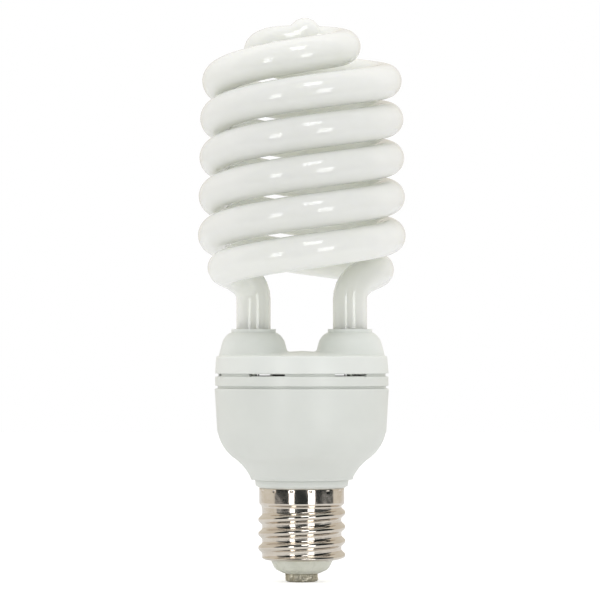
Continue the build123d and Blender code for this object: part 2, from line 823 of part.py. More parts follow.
for piece, name in (
    (centre_contact, "centre_contact"),
    (contact_solder, "contact_solder"),
    (base_insulator, "base_insulator"),
    (screw_shell, "screw_shell"),
    (base_collar, "base_collar"),
    (lower_housing, "lower_housing"),
    (vent_ring, "vent_ring"),
    (top_cover, "top_cover"),
    (ballast_board, "ballast_board"),
    (board_pins, "board_pins"),
    (choke_core, "choke_core"),
    (choke_winding, "choke_winding"),
    (filter_choke_core, "filter_choke_core"),
    (filter_choke_winding, "filter_choke_winding"),
    (drive_ring, "drive_ring"),
    (power_transistors, "power_transistors"),
    (film_capacitors, "film_capacitors"),
    (rectifier_diodes, "rectifier_diodes"),
    (resistors, "resistors"),
    (fuse_resistor, "fuse_resistor"),
    (contact_lead, "contact_lead"),
    (fuse_lead, "fuse_lead"),
    (shell_lead, "shell_lead"),
):
    save(piece, name)
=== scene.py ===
# %% [markdown]
# Spiral fluorescent lamp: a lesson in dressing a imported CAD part.
# The lamp is already modelled as solids, and they arrive here as a fixed frame in metres.
# Each cell below gives one visible piece its fine form and finish. Nothing is moved:
# every piece sits where the CAD says, so its object stays at the origin and its place
# is in its mesh.

import math

import bmesh
import bpy
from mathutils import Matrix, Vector, noise


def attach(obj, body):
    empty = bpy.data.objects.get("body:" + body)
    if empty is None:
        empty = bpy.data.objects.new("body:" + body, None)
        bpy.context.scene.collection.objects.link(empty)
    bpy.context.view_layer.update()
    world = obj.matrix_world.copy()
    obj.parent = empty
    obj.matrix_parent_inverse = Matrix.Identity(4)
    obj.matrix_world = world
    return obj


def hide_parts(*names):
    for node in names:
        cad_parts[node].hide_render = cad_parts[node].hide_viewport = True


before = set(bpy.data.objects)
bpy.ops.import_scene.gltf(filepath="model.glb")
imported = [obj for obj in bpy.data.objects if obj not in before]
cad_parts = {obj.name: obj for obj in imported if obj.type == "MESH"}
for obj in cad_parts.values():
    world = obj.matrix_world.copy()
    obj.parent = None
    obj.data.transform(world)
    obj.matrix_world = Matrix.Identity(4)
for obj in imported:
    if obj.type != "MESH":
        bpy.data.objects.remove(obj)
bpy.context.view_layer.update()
scene = bpy.context.scene
print("CAD nodes:", len(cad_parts))

# %% [markdown]
# Sizes are easier to read in millimetres, as a lamp drawing gives them, so the numbers
# here stay in millimetres and each mesh is scaled once, when it is built.

# %% The lamp's main sizes, in millimetres
MM = 0.001
TUBE_RADIUS = 7.7
COIL_PITCH = 35.0
COIL_TOP_RADIUS = 37.4
COIL_BOTTOM_RADIUS = 39.3
COIL_TAPER_HEIGHT = 100.0
BRIDGE_HEIGHT = 242.4
LEG_OFFSET = 21.7
LEG_TOP = 127.0
LEG_END = 97.9
SHELL_BOTTOM = 9.7
SHELL_TOP = 42.2
COLLAR_TOP = 45.8
BOWL_TOP = 86.7
RIM_BOTTOM = 93.5
RIM_TOP = 101.3
DOME_TOP = 111.7
SOCKET_TOP = 113.4
print(f"Lamp: glass {2 * TUBE_RADIUS} mm thick, bridge line {BRIDGE_HEIGHT} mm above the contact")

# %% [markdown]
# A colour picked on a screen is in the screen's own scale. Blender's sockets want
# light itself, which is linear, so one small function turns the first into the second.

# %% Colours as seen on a screen
def paint(red, green, blue):
    """A shader colour from screen values of 0 to 255."""
    def to_light(value):
        value /= 255
        return value / 12.92 if value <= 0.04045 else ((value + 0.055) / 1.055) ** 2.4
    return (to_light(red), to_light(green), to_light(blue), 1.0)


# %% [markdown]
# Materials here are all trees of nodes. A few helpers keep them short: one adds a node and
# wires or sets its inputs, one starts a material whose plain values sit on the shader's
# own sockets, one turns arithmetic into nodes, and the rest add the nodes and groups that
# nearly every finish needs.

# %% Helpers for node trees
def add_node(tree, kind, inputs=None, **settings):
    """A new node: an input given as a socket is linked, and any other value is set."""
    made = tree.nodes.new(kind)
    for name, value in settings.items():
        setattr(made, name, value)
    for name, value in (inputs or {}).items():
        if isinstance(value, bpy.types.NodeSocket):
            tree.links.new(value, made.inputs[name])
        else:
            made.inputs[name].default_value = value
    return made


def start_material(name, plain):
    """A new material with plain values on its shader, and the socket of a point's place."""
    material = bpy.data.materials.new(name)
    material.use_nodes = True
    tree = material.node_tree
    shader = tree.nodes["Principled BSDF"]
    for socket, value in plain.items():
        shader.inputs[socket].default_value = value
    place = add_node(tree, "ShaderNodeTexCoord").outputs["Object"]
    return material, tree, shader, place


def between_colours(tree, factor, first, second):
    """The socket of a colour that goes from the first to the second as the factor rises."""
    mix = add_node(
        tree, "ShaderNodeMix", {"Factor": factor, 6: first, 7: second}, data_type="RGBA"
    )
    return mix.outputs[2]


def between_numbers(tree, value, low, high):
    """The socket of a number that goes from low to high as the value goes from 0 to 1."""
    return add_node(
        tree, "ShaderNodeMapRange", {"Value": value, "To Min": low, "To Max": high}
    ).outputs["Result"]


def stretched(tree, value, low, high, shape="LINEAR"):
    """The socket of a number from 0 to 1 while the value goes from low to high."""
    return add_node(
        tree,
        "ShaderNodeMapRange",
        {"Value": value, "From Min": low, "From Max": high},
        interpolation_type=shape,
    ).outputs["Result"]


def add_noise(tree, vector, scale, **settings):
    """The socket of a cloudy noise, with any further inputs of the noise by name."""
    inputs = {"Vector": vector, "Scale": scale, **settings}
    return add_node(tree, "ShaderNodeTexNoise", inputs).outputs["Fac"]


def add_bump(tree, shader, height, strength, distance):
    """Gives the shader a bump of a height, at a strength, that is a distance deep in metres."""
    bump = add_node(
        tree, "ShaderNodeBump", {"Height": height, "Strength": strength, "Distance": distance}
    )
    tree.links.new(bump.outputs["Normal"], shader.inputs["Normal"])


def vector_math(tree, operation, *values, **named):
    """A Vector Math node. Its values are sockets or vectors, and named ones are inputs."""
    return add_node(
        tree, "ShaderNodeVectorMath", {**dict(enumerate(values)), **named}, operation=operation
    ).outputs


class Formula:
    """A number in a node tree. Arithmetic on it adds the Math nodes that work it out."""

    def __init__(self, tree, socket):
        self.tree, self.socket = tree, socket

    def math(self, operation, *others):
        made = self.tree.nodes.new("ShaderNodeMath")
        made.operation = operation
        for index, value in enumerate((self, *others)):
            if isinstance(value, Formula):
                self.tree.links.new(value.socket, made.inputs[index])
            else:
                made.inputs[index].default_value = value
        return Formula(self.tree, made.outputs[0])

    def __add__(self, other):
        return self.math("ADD", other)

    def __sub__(self, other):
        return self.math("SUBTRACT", other)

    def __mul__(self, other):
        return self.math("MULTIPLY", other)

    def __truediv__(self, other):
        return self.math("DIVIDE", other)


def start_group(name, inputs, outputs):
    """A shader group with named number inputs, a Vector input and named outputs."""
    group = bpy.data.node_groups.new(name, "ShaderNodeTree")
    group.interface.new_socket("Vector", in_out="INPUT", socket_type="NodeSocketVector")
    for label, value in inputs.items():
        socket = group.interface.new_socket(label, in_out="INPUT", socket_type="NodeSocketFloat")
        socket.default_value = value
    for label in outputs:
        group.interface.new_socket(label, in_out="OUTPUT", socket_type="NodeSocketFloat")
    return group, add_node(group, "NodeGroupInput").outputs, add_node(group, "NodeGroupOutput")


def place_group(tree, group, inputs):
    """Places a shared group in a material with its own values, and returns its outputs."""
    return add_node(tree, "ShaderNodeGroup", inputs, node_tree=group).outputs


# %% [markdown]
# Real surfaces are never even. Three effects are shared by most finishes here: a slow
# drift of tone over centimetres, the fine grain that a mould or a rolling die leaves, and
# the faint smudges of handling. Each is one group, so every finish can use it at its own
# scale.

# %% Shared effects
def build_slow_drift():
    """Tone that wanders slowly between 0 and 1."""
    group, given, result = start_group("slow drift", {"Scale": 40.0}, ["Tone"])
    cloud = add_noise(group, given["Vector"], given["Scale"], Detail=3.0, Roughness=0.55)
    tone = stretched(group, cloud, 0.3, 0.7, "SMOOTHSTEP")
    group.links.new(tone, result.inputs["Tone"])
    return group


def build_fine_grain():
    """Height of a fine spark-eroded or cast grain."""
    group, given, result = start_group("fine grain", {"Scale": 2500.0, "Depth": 1.0}, ["Height"])
    coarse = add_noise(group, given["Vector"], given["Scale"], Detail=2.0, Roughness=0.6)
    pits = add_node(
        group, "ShaderNodeTexVoronoi", {"Vector": given["Vector"], "Scale": given["Scale"]}
    )
    both = Formula(group, coarse) + Formula(group, pits.outputs["Distance"])
    scaled = both * Formula(group, given["Depth"])
    group.links.new(scaled.socket, result.inputs["Height"])
    return group


def build_handling():
    """Where fingers and packing have left a faint film, from 0 to 1."""
    group, given, result = start_group("handling", {"Scale": 60.0, "Cover": 0.5}, ["Mask"])
    smear = add_noise(
        group, given["Vector"], given["Scale"], Detail=6.0, Roughness=0.7, Distortion=1.2
    )
    edge = add_node(group, "ShaderNodeMath", {0: 0.75, 1: given["Cover"]}, operation="SUBTRACT")
    mask = stretched(group, smear, edge.outputs[0], 0.8, "SMOOTHSTEP")
    group.links.new(mask, result.inputs["Mask"])
    return group


slow_drift = build_slow_drift()
fine_grain = build_fine_grain()
handling = build_handling()
print("Shared effects:", [group.name for group in (slow_drift, fine_grain, handling)])


def drifting_colour(tree, place, scale, first, second):
    """The socket of a colour that drifts slowly over the surface between two near tones."""
    tone = place_group(tree, slow_drift, {"Vector": place, "Scale": scale})["Tone"]
    return between_colours(tree, tone, first, second)


def handled_sheen(tree, shader, place, scale, cover, clean, dull):
    """Gives the shader a roughness that goes from clean to dull where hands have been."""
    film = place_group(tree, handling, {"Vector": place, "Scale": scale, "Cover": cover})["Mask"]
    tree.links.new(between_numbers(tree, film, clean, dull), shader.inputs["Roughness"])


# %% [markdown]
# Turned and moulded round parts come from one profile spun about the lamp's axis. The
# profile is a list of radius and height. Its corners are rounded first, because no real
# moulding has a knife edge, and that small round is what catches the light.

# %% Helpers for round parts
def rounded(corners, steps=5):
    """Profile points with each corner (radius, height, rounding) turned into an arc."""
    points = []
    for index, (r, z, rounding) in enumerate(corners):
        here = Vector((r, z))
        before = Vector(corners[index - 1][:2]) - here
        after = Vector(corners[(index + 1) % len(corners)][:2]) - here
        if rounding <= 0 or before.length < 1e-9 or after.length < 1e-9:
            points.append((r, z))
            continue
        before.normalize()
        after.normalize()
        half = before.angle(after) / 2
        reach = rounding / math.tan(half)
        centre = here + (before + after).normalized() * rounding / math.sin(half)
        first = here + before * reach - centre
        last = here + after * reach - centre
        sweep = first.angle(last)
        for step in range(steps + 1):
            share = step / steps
            spoke = (
                first * math.sin((1 - share) * sweep) + last * math.sin(share * sweep)
            ) / math.sin(sweep)
            points.append(tuple(centre + spoke))
    return points


def tangent_arc(start, direction, end, steps):
    """Points of the arc that leaves start in a direction and ends at end."""
    start, direction, end = Vector(start), Vector(direction).normalized(), Vector(end)
    chord = end - start
    normal = Vector((-direction.y, direction.x))
    signed_radius = chord.length_squared / (2 * chord.dot(normal))
    centre = start + normal * signed_radius
    turn = 2 * math.atan2(chord.dot(normal), chord.dot(direction))
    spoke = start - centre
    points = []
    for step in range(steps + 1):
        angle = turn * step / steps
        points.append(
            (
                centre.x + spoke.x * math.cos(angle) - spoke.y * math.sin(angle),
                centre.y + spoke.x * math.sin(angle) + spoke.y * math.cos(angle),
            )
        )
    return points


def straight(start, end, steps):
    """Points along a straight line, without its start."""
    start, end = Vector(start), Vector(end)
    return [tuple(start.lerp(end, step / steps)) for step in range(1, steps + 1)]


def spin_profile(profile, closed, sides):
    """Vertices and faces of a profile spun round the Z axis, in millimetres."""
    vertices, rings = [], []
    for r, z in profile:
        if r < 1e-6:
            rings.append([len(vertices)] * sides)
            vertices.append((0.0, 0.0, z))
            continue
        rings.append(range(len(vertices), len(vertices) + sides))
        for side in range(sides):
            angle = 2 * math.pi * side / sides
            vertices.append((r * math.cos(angle), r * math.sin(angle), z))
    pairs = list(zip(rings, rings[1:]))
    if closed:
        pairs.append((rings[-1], rings[0]))
    faces = []
    for low, high in pairs:
        for side in range(sides):
            following = (side + 1) % sides
            face = [low[side], low[following], high[following], high[side]]
            corners = list(dict.fromkeys(face))
            if len(corners) > 2:
                faces.append(corners)
    return vertices, faces


def plain_mesh(name, vertices, faces):
    """A mesh in metres from millimetre points, with its faces turned outwards."""
    mesh = bpy.data.meshes.new(name)
    mesh.from_pydata([Vector(v) * MM for v in vertices], [], faces)
    edit = bmesh.new()
    edit.from_mesh(mesh)
    bmesh.ops.remove_doubles(edit, verts=edit.verts, dist=0.0005 * MM)
    bmesh.ops.recalc_face_normals(edit, faces=edit.faces)
    edit.to_mesh(mesh)
    edit.free()
    return mesh


SMOOTH_ANGLE = math.radians(38)


def add_object(name, data):
    """A new object in the scene."""
    made = bpy.data.objects.new(name, data)
    scene.collection.objects.link(made)
    return made


def baked(carrier):
    """The plain mesh of an object after its modifiers. The object itself is removed."""
    graph = bpy.context.evaluated_depsgraph_get()
    made = bpy.data.meshes.new_from_object(carrier.evaluated_get(graph))
    bpy.data.objects.remove(carrier)
    return made


def dress(name, mesh, material, nodes):
    """Makes the finished piece: smooth, finished, riding the lamp, standing for its nodes."""
    piece = add_object(name, mesh)
    mesh.shade_smooth()
    mesh.set_sharp_from_angle(angle=SMOOTH_ANGLE)
    mesh.materials.clear()
    mesh.materials.append(material)
    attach(piece, "root")
    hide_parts(*nodes)
    mesh.calc_loop_triangles()
    print(f"{name}: {len(mesh.loop_triangles)} triangles")


def turned_piece(name, profile, sides, material, nodes):
    """A finished piece made by spinning a closed profile round the lamp's axis."""
    vertices, faces = spin_profile(profile, True, sides)
    dress(name, plain_mesh(name, vertices, faces), material, nodes)


def finish_node(name, material):
    """Gives a piece that keeps its CAD mesh its finish."""
    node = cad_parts[name]
    node.data.materials.clear()
    node.data.materials.append(material)


# %% [markdown]
# The glass. On the real lamp a clear tube is coated inside with a white powder, so the
# eye sees an even, slightly greenish white under a wet-looking surface. A full glass
# shader would need the light to find its way through two walls and would stay noisy. A
# matt white body under a clear coat gives the same look: the coat draws the sharp
# highlights, and scattering as deep as the tube is wide carries light into the gaps
# between the turns. The powder is thinner near the electrodes, so the legs are greener.

# %% Finish of the coated glass
# The powder starts to thin at the first of these heights and is thinnest at the second.
THIN_FROM = 150.0
THIN_AT = 112.0


def build_coated_glass():
    """The tube: matt powder under a clear coat, a touch thinner and greener at the legs."""
    material, tree, shader, place = start_material(
        "coated glass",
        {
            "Metallic": 0.0,
            "IOR": 1.5,
            "Coat Weight": 1.0,
            "Coat Roughness": 0.02,
            "Coat IOR": 1.56,
            "Specular IOR Level": 0.0,
            "Subsurface Weight": 1.0,
            "Subsurface Radius": (1.0, 1.0, 0.9),
            "Subsurface Scale": 0.03,
        },
    )
    powder = drifting_colour(tree, place, 55.0, paint(240, 242, 233), paint(244, 246, 237))
    height = add_node(tree, "ShaderNodeSeparateXYZ", {"Vector": place}).outputs["Z"]
    near_leg = stretched(tree, height, THIN_FROM * MM, THIN_AT * MM, "SMOOTHSTEP")
    thinner = between_colours(tree, near_leg, powder, paint(239, 242, 231))
    tree.links.new(thinner, shader.inputs["Base Color"])
    handled_sheen(tree, shader, place, 45.0, 0.35, 0.32, 0.45)
    return material


coated_glass = build_coated_glass()
print("Finish:", coated_glass.name)


# %% [markdown]
# The tube follows a rule, so its line is worked out rather than drawn. From the bridge on
# top, each strand opens out to the full radius while it winds down, and the other strand
# is the same line turned by half a turn. A short curved bend then leads each strand into
# its straight leg.

# %% The tube's centre line
ARM_OPENING = 3.95
ARM_FULLNESS = 1.75
ARM_HEADING = 0.283
BRIDGE_FLATNESS = 0.4
BEND_START = math.radians(35)
BEND_PULLS = (1.5, 1.3)
BRIDGE_CROWDING = 1.35
COIL_END = ARM_HEADING + 6 * math.pi - BEND_START


def strand_point(turned):
    """A point of one strand after it has turned down from the bridge, in radians."""
    spread = math.sqrt(1 - (1 - min(turned / ARM_OPENING, 1)) ** ARM_FULLNESS)
    eased = math.hypot(turned, BRIDGE_FLATNESS) - BRIDGE_FLATNESS
    drop = COIL_PITCH * eased / (2 * math.pi)
    widening = min(drop / COIL_TAPER_HEIGHT, 1)
    reach = COIL_TOP_RADIUS + (COIL_BOTTOM_RADIUS - COIL_TOP_RADIUS) * widening
    heading = ARM_HEADING - turned
    return Vector(
        (
            reach * spread * math.cos(heading),
            reach * spread * math.sin(heading),
            BRIDGE_HEIGHT - drop,
        )
    )


def bend_points(start, heading, end, steps):
    """A smooth bend from the coil's end into the top of the leg."""
    chord = (end - start).length
    leave = heading * BEND_PULLS[0] * chord
    arrive = Vector((0, 0, -1)) * BEND_PULLS[1] * chord
    points = []
    for step in range(1, steps + 1):
        t = step / steps
        points.append(
            start * (2 * t**3 - 3 * t**2 + 1)
            + leave * (t**3 - 2 * t**2 + t)
            + end * (3 * t**2 - 2 * t**3)
            + arrive * (t**3 - t**2)
        )
    return points


def half_line(steps=420, bend_steps=24):
    """Centre line from just after the bridge down one strand to the end of its leg."""
    # Steps are close together at the bridge, where the line curves most.
    turns = [COIL_END * (step / steps) ** BRIDGE_CROWDING for step in range(1, steps + 1)]
    points = [strand_point(turned) for turned in turns]
    heading = (strand_point(COIL_END) - strand_point(COIL_END - 0.001)).normalized()
    leg_top = Vector((LEG_OFFSET, 0, LEG_TOP))
    points += bend_points(points[-1], heading, leg_top, bend_steps)
    points.append(Vector((LEG_OFFSET, 0, LEG_END)))
    return points


right_half = half_line()
left_half = [Vector((-p.x, -p.y, p.z)) for p in reversed(right_half)]
tube_line = left_half + [Vector((0, 0, BRIDGE_HEIGHT))] + right_half
tube_length = sum((b - a).length for a, b in zip(tube_line, tube_line[1:]))
print(f"Centre line: {len(tube_line)} points, {tube_length:.0f} mm of glass tube")

# %% [markdown]
# Geometry Nodes sweeps the glass along that line. The tree takes its sizes as named
# inputs, so the same tree would make any other bent tube. The small blown bump on the
# bridge is where the lamp stays coolest. It is drawn in the same tree: a point of the
# wall that lies inside the bump's ball is pushed out along its own spoke, and the step
# between the two is smoothed.

# %% A Geometry Nodes tree for bent glass tube
def start_geometry(name, others, numbers):
    """A Geometry Nodes tree: a Geometry, other inputs by kind, numbers and a Material."""
    tree = bpy.data.node_groups.new(name, "GeometryNodeTree")
    tree.interface.new_socket("Geometry", in_out="INPUT", socket_type="NodeSocketGeometry")
    kinds = {**others, **dict.fromkeys(numbers, "NodeSocketFloat")}
    for label, kind in kinds.items():
        tree.interface.new_socket(label, in_out="INPUT", socket_type=kind)
    tree.interface.new_socket("Material", in_out="INPUT", socket_type="NodeSocketMaterial")
    tree.interface.new_socket("Geometry", in_out="OUTPUT", socket_type="NodeSocketGeometry")
    given = add_node(tree, "NodeGroupInput").outputs
    return tree, given


def end_geometry(tree, given, geometry):
    """Realize Instances and Set Material, then the tree's output."""
    real = add_node(tree, "GeometryNodeRealizeInstances", {"Geometry": geometry})
    painted = add_node(
        tree,
        "GeometryNodeSetMaterial",
        {"Geometry": real.outputs[0], "Material": given["Material"]},
    )
    add_node(tree, "NodeGroupOutput", {"Geometry": painted.outputs[0]})


def run_geometry(name, source, tree, values):
    """The plain mesh that a tree makes from a source mesh. Nothing live is left behind."""
    carrier = add_object(name, source)
    modifier = carrier.modifiers.new(tree.name, "NODES")
    modifier.node_group = tree
    for item in tree.interface.items_tree:
        if item.in_out == "INPUT" and item.name in values:
            modifier[item.identifier] = values[item.name]
    made = baked(carrier)
    made.name = name
    return made


# How far from the bump's middle the tube's line may follow it, in radii of its ball.
BUMP_REACH = 1.6


def build_tube_tree():
    """A tree that sweeps a round wall along a line and blows one bump out of it."""
    tree, given = start_geometry(
        "bent glass tube",
        {"Bump Centre": "NodeSocketVector", "Sides": "NodeSocketInt"},
        ["Radius", "Spacing", "Bump Radius", "Bump Blend"],
    )
    line = add_node(tree, "GeometryNodeMeshToCurve", {"Mesh": given["Geometry"]})
    even = add_node(
        tree,
        "GeometryNodeResampleCurve",
        {"Curve": line.outputs[0], "Length": given["Spacing"]},
        mode="LENGTH",
    )
    capture = tree.nodes.new("GeometryNodeCaptureAttribute")
    capture.capture_items.new("VECTOR", "Axis Point")
    tree.links.new(even.outputs[0], capture.inputs[0])
    here = add_node(tree, "GeometryNodeInputPosition").outputs[0]
    tree.links.new(here, capture.inputs[1])
    ring = add_node(
        tree,
        "GeometryNodeCurvePrimitiveCircle",
        {"Resolution": given["Sides"], "Radius": given["Radius"]},
    )
    swept = add_node(
        tree,
        "GeometryNodeCurveToMesh",
        {"Curve": capture.outputs[0], "Profile Curve": ring.outputs[0], "Fill Caps": True},
    )
    axis_point = capture.outputs[1]
    spoke = vector_math(tree, "SUBTRACT", here, axis_point)[0]
    outward = vector_math(tree, "NORMALIZE", spoke)[0]
    to_bump = vector_math(tree, "SUBTRACT", given["Bump Centre"], axis_point)[0]
    along = Formula(tree, vector_math(tree, "DOT_PRODUCT", to_bump, outward)["Value"])
    away = Formula(tree, vector_math(tree, "LENGTH", to_bump)["Value"])
    ball = Formula(tree, given["Bump Radius"])
    # Where the spoke leaves the ball. Only the wall close to the ball may follow it.
    inside = (along * along - away * away + ball * ball).math("MAXIMUM", 0.0)
    leaving = along + inside.math("SQRT")
    close = away.math("LESS_THAN", ball * BUMP_REACH)
    meets = inside.math("GREATER_THAN", 0.0) * close
    reach = (leaving * meets).math(
        "SMOOTH_MAX", Formula(tree, given["Radius"]), Formula(tree, given["Bump Blend"])
    )
    grown = vector_math(tree, "SCALE", outward, Scale=reach.socket)[0]
    target = vector_math(tree, "ADD", axis_point, grown)[0]
    placed = add_node(
        tree, "GeometryNodeSetPosition", {"Geometry": swept.outputs[0], "Position": target}
    )
    end_geometry(tree, given, placed.outputs[0])
    return tree


tube_tree = build_tube_tree()
print("Tree:", tube_tree.name, "with", len(tube_tree.nodes), "nodes")

# %% The discharge tube
line_mesh = bpy.data.meshes.new("tube line")
line_mesh.from_pydata(
    [p * MM for p in tube_line], [(i, i + 1) for i in range(len(tube_line) - 1)], []
)
tube_mesh = run_geometry(
    "glass_spiral",
    line_mesh,
    tube_tree,
    {
        "Radius": TUBE_RADIUS * MM,
        "Spacing": 2.6 * MM,
        "Sides": 56,
        "Bump Centre": (1.3 * MM, 0.0, 246.4 * MM),
        "Bump Radius": 7.3 * MM,
        "Bump Blend": 1.2 * MM,
        "Material": coated_glass,
    },
)
tube_nodes = ["tube_bridge"] + [
    f"{side}_{part}" for side in ("left", "right") for part in ("upper_turn", "lower_turn", "leg")
]
dress("glass_spiral", tube_mesh, coated_glass, tube_nodes)


# %% [markdown]
# The housing is moulded in a white engineering plastic. Seen close, it has a very fine
# satin grain, a slight drift of tone, and it is a touch duller where it has been held. The
# cover with the domes is painted a little whiter, as painted light on the domes.

# %% Finish of the moulded plastic
def build_housing_plastic(name, first, second):
    """A satin plastic that drifts between two tones and has a fine moulded grain."""
    material, tree, shader, place = start_material(
        name,
        {
            "Metallic": 0.0,
            "IOR": 1.5,
            "Specular IOR Level": 0.5,
            "Subsurface Weight": 0.3,
            "Subsurface Radius": (1.0, 1.0, 0.95),
            "Subsurface Scale": 0.003,
        },
    )
    body = drifting_colour(tree, place, 38.0, first, second)
    tree.links.new(body, shader.inputs["Base Color"])
    handled_sheen(tree, shader, place, 50.0, 0.3, 0.35, 0.45)
    grain = place_group(tree, fine_grain, {"Vector": place, "Scale": 2600.0, "Depth": 1.0})
    add_bump(tree, shader, grain["Height"], 0.12, 0.00002)
    return material


housing_plastic = build_housing_plastic(
    "white moulded plastic", paint(227, 230, 225), paint(231, 234, 229)
)
# The cover's copy of the plastic is painted lighter: painted light where the domes catch it.
cover_plastic_painted_lighter = build_housing_plastic(
    "moulded plastic painted lighter", paint(238, 242, 237), paint(242, 245, 240)
)
print("Finishes:", housing_plastic.name, "and", cover_plastic_painted_lighter.name)

# %% [markdown]
# The lower housing is a bowl: straight for a moment at the neck, hollow-sided at the
# waist, then round up to the shoulder. Two arcs that leave the waist in opposite
# directions give that S without a kink. The wall is the same curve moved inwards, with
# the ledge that carries the ballast board.

# %% Lower housing
SIDES = 256
NECK_RADIUS = 23.15
HOUSING_WALL = 2.0
waist = (30.2, COLLAR_TOP + 9.4)
shoulder = (38.1, COLLAR_TOP + 22.7)
mouth = (39.15, BOWL_TOP)
uphill = (math.cos(math.radians(35.5)), math.sin(math.radians(35.5)))
hem_top = (NECK_RADIUS, COLLAR_TOP + 0.9)


def moved_in(points, distance):
    """The same open curve moved towards the lamp's axis side by a distance."""
    result = []
    for index, point in enumerate(points):
        before = Vector(points[max(index - 1, 0)])
        after = Vector(points[min(index + 1, len(points) - 1)])
        along = (after - before).normalized()
        result.append((point[0] - along.y * distance, point[1] + along.x * distance))
    return result


bowl_curve = tangent_arc(waist, (-uphill[0], -uphill[1]), hem_top, 20)[::-1]
bowl_curve += tangent_arc(waist, uphill, shoulder, 26)[1:]
bowl_curve += straight(shoulder, mouth, 6)
inner_curve = moved_in(bowl_curve, HOUSING_WALL)[::-1]
EDGE = 0.35
outer_side = [(NECK_RADIUS - EDGE, COLLAR_TOP), (NECK_RADIUS, COLLAR_TOP + EDGE)] + bowl_curve[:-1]
outer_side += [(mouth[0], BOWL_TOP - EDGE), (mouth[0] - EDGE, BOWL_TOP)]
# The ballast board rests on the ledge's flat top; its underside slopes back to the wall.
LEDGE_TOP = 80.95
LEDGE_RADIUS = 33.1
LEDGE_HEIGHT = 3.0
ledge_low = LEDGE_TOP - LEDGE_HEIGHT


def clear_of_ledge(point):
    """Whether a point of the wall lies above the ledge or below its sloping side."""
    return point[1] > LEDGE_TOP + 0.2 or point[0] - LEDGE_RADIUS < ledge_low - 0.2 - point[1]


wall = [point for point in inner_curve[1:-1] if clear_of_ledge(point)]
above = [point for point in wall if point[1] > LEDGE_TOP]
below = [point for point in wall if point[1] < LEDGE_TOP]
inner_side = [(mouth[0] - HOUSING_WALL, BOWL_TOP), *above, (above[-1][0], LEDGE_TOP)]
inner_side += [(LEDGE_RADIUS, LEDGE_TOP), (LEDGE_RADIUS, ledge_low)]
inner_side += [(below[0][0], ledge_low + LEDGE_RADIUS - below[0][0]), *below]
inner_side += [(NECK_RADIUS - HOUSING_WALL, COLLAR_TOP)]
bowl_profile = outer_side + inner_side
turned_piece("bowl", bowl_profile, SIDES, housing_plastic, ["lower_housing"])

# %% [markdown]
# The collar under the bowl plugs into the screw shell. Its lower edge curves in to meet
# the metal, and a hair-wide gap shows where the two meet.

# %% Base collar
COLLAR_RADIUS = 21.0
TONGUE_RADIUS = 20.9
TONGUE_TOP = COLLAR_TOP + 3.2
SPIGOT_RADIUS = 18.6
SPIGOT_BOTTOM = SHELL_TOP - 6.0
COLLAR_BORE = SPIGOT_RADIUS - 2.6
collar_profile = rounded(
    [
        (COLLAR_BORE, SPIGOT_BOTTOM, 0.0),
        (SPIGOT_RADIUS, SPIGOT_BOTTOM, 0.3),
        (SPIGOT_RADIUS, SHELL_TOP, 0.0),
        (SPIGOT_RADIUS + 0.7, SHELL_TOP, 0.2),
        (COLLAR_RADIUS - 0.15, SHELL_TOP + 0.9, 0.9),
        (COLLAR_RADIUS, COLLAR_TOP - 0.3, 0.3),
        (COLLAR_RADIUS - 0.4, COLLAR_TOP, 0.2),
        (TONGUE_RADIUS, COLLAR_TOP, 0.0),
        (TONGUE_RADIUS, TONGUE_TOP, 0.2),
        (COLLAR_BORE, TONGUE_TOP, 0.0),
    ]
)
turned_piece(
    "neck_collar", collar_profile, SIDES, housing_plastic, ["base_collar"]
)

# %% [markdown]
# The top cover isn't round as a whole: two domes rise from a shallow crown, one for each
# leg. It is built as a net of rings round one dome, from its collar down the side, over a
# small fillet and out along the crown to the rim, and then mirrored. Nets like this give
# smooth shading, where a cut and joined shape would give long thin triangles. A Solidify
# modifier adds the wall, and a Bevel softens what is left sharp.

# %% A helper that bakes modifiers into a plain mesh
def with_modifiers(mesh, *wanted):
    """The mesh after the given modifiers, each a type and its settings."""
    carrier = add_object("carrier", mesh)
    for kind, settings in wanted:
        modifier = carrier.modifiers.new(kind.title(), kind)
        for name, value in settings.items():
            setattr(modifier, name, value)
    return baked(carrier)


# %% Top cover with its two domes
CROWN_RISE = 2.3
CROWN_EDGE = 37.7
COVER_FILLET = 1.5
# The fillet takes at most this share of the room beside a dome, and rises in proportion.
FILLET_ROOM = 0.7
FILLET_RISE = 2.2
LEAST_RISE = 0.2
SOCKET_RADIUS = 10.0
DOME_SHOULDER = 10.6
RIM_ROUND = 0.8
RIM_DRAFT = 0.54
COVER_WALL = 1.9
COVER_EDGE = 0.25
DOME_COLUMNS = 240


def crown_height(x, y):
    """Height of the shallow crown over a point of the lamp's plan."""
    return RIM_TOP + CROWN_RISE * (1 - math.hypot(x, y) / CROWN_EDGE)


dome_side = Vector((14.2, RIM_TOP + 5.7))
dome_foot = Vector((15.7, RIM_TOP))
side_slope = (dome_side - dome_foot).normalized()
dome_curve = [(SOCKET_RADIUS, SOCKET_TOP), (SOCKET_RADIUS, SOCKET_TOP - 0.6)]
dome_curve += [(SOCKET_RADIUS, DOME_TOP + 0.35), (SOCKET_RADIUS + 0.08, DOME_TOP + 0.12)]
dome_curve += [(SOCKET_RADIUS + 0.3, DOME_TOP)]
dome_curve += tangent_arc(dome_side, side_slope, (DOME_SHOULDER, DOME_TOP), 12)[::-1]
rim_shoulder = (CROWN_EDGE + RIM_ROUND, RIM_TOP - RIM_ROUND)
rim_foot = (rim_shoulder[0] + RIM_DRAFT, RIM_BOTTOM)
rim_curve = [
    (CROWN_EDGE + RIM_ROUND * math.sin(a), rim_shoulder[1] + RIM_ROUND * math.cos(a))
    for a in (math.radians(18 * k) for k in range(1, 6))
]
rim_curve += straight(rim_shoulder, rim_foot, 4)


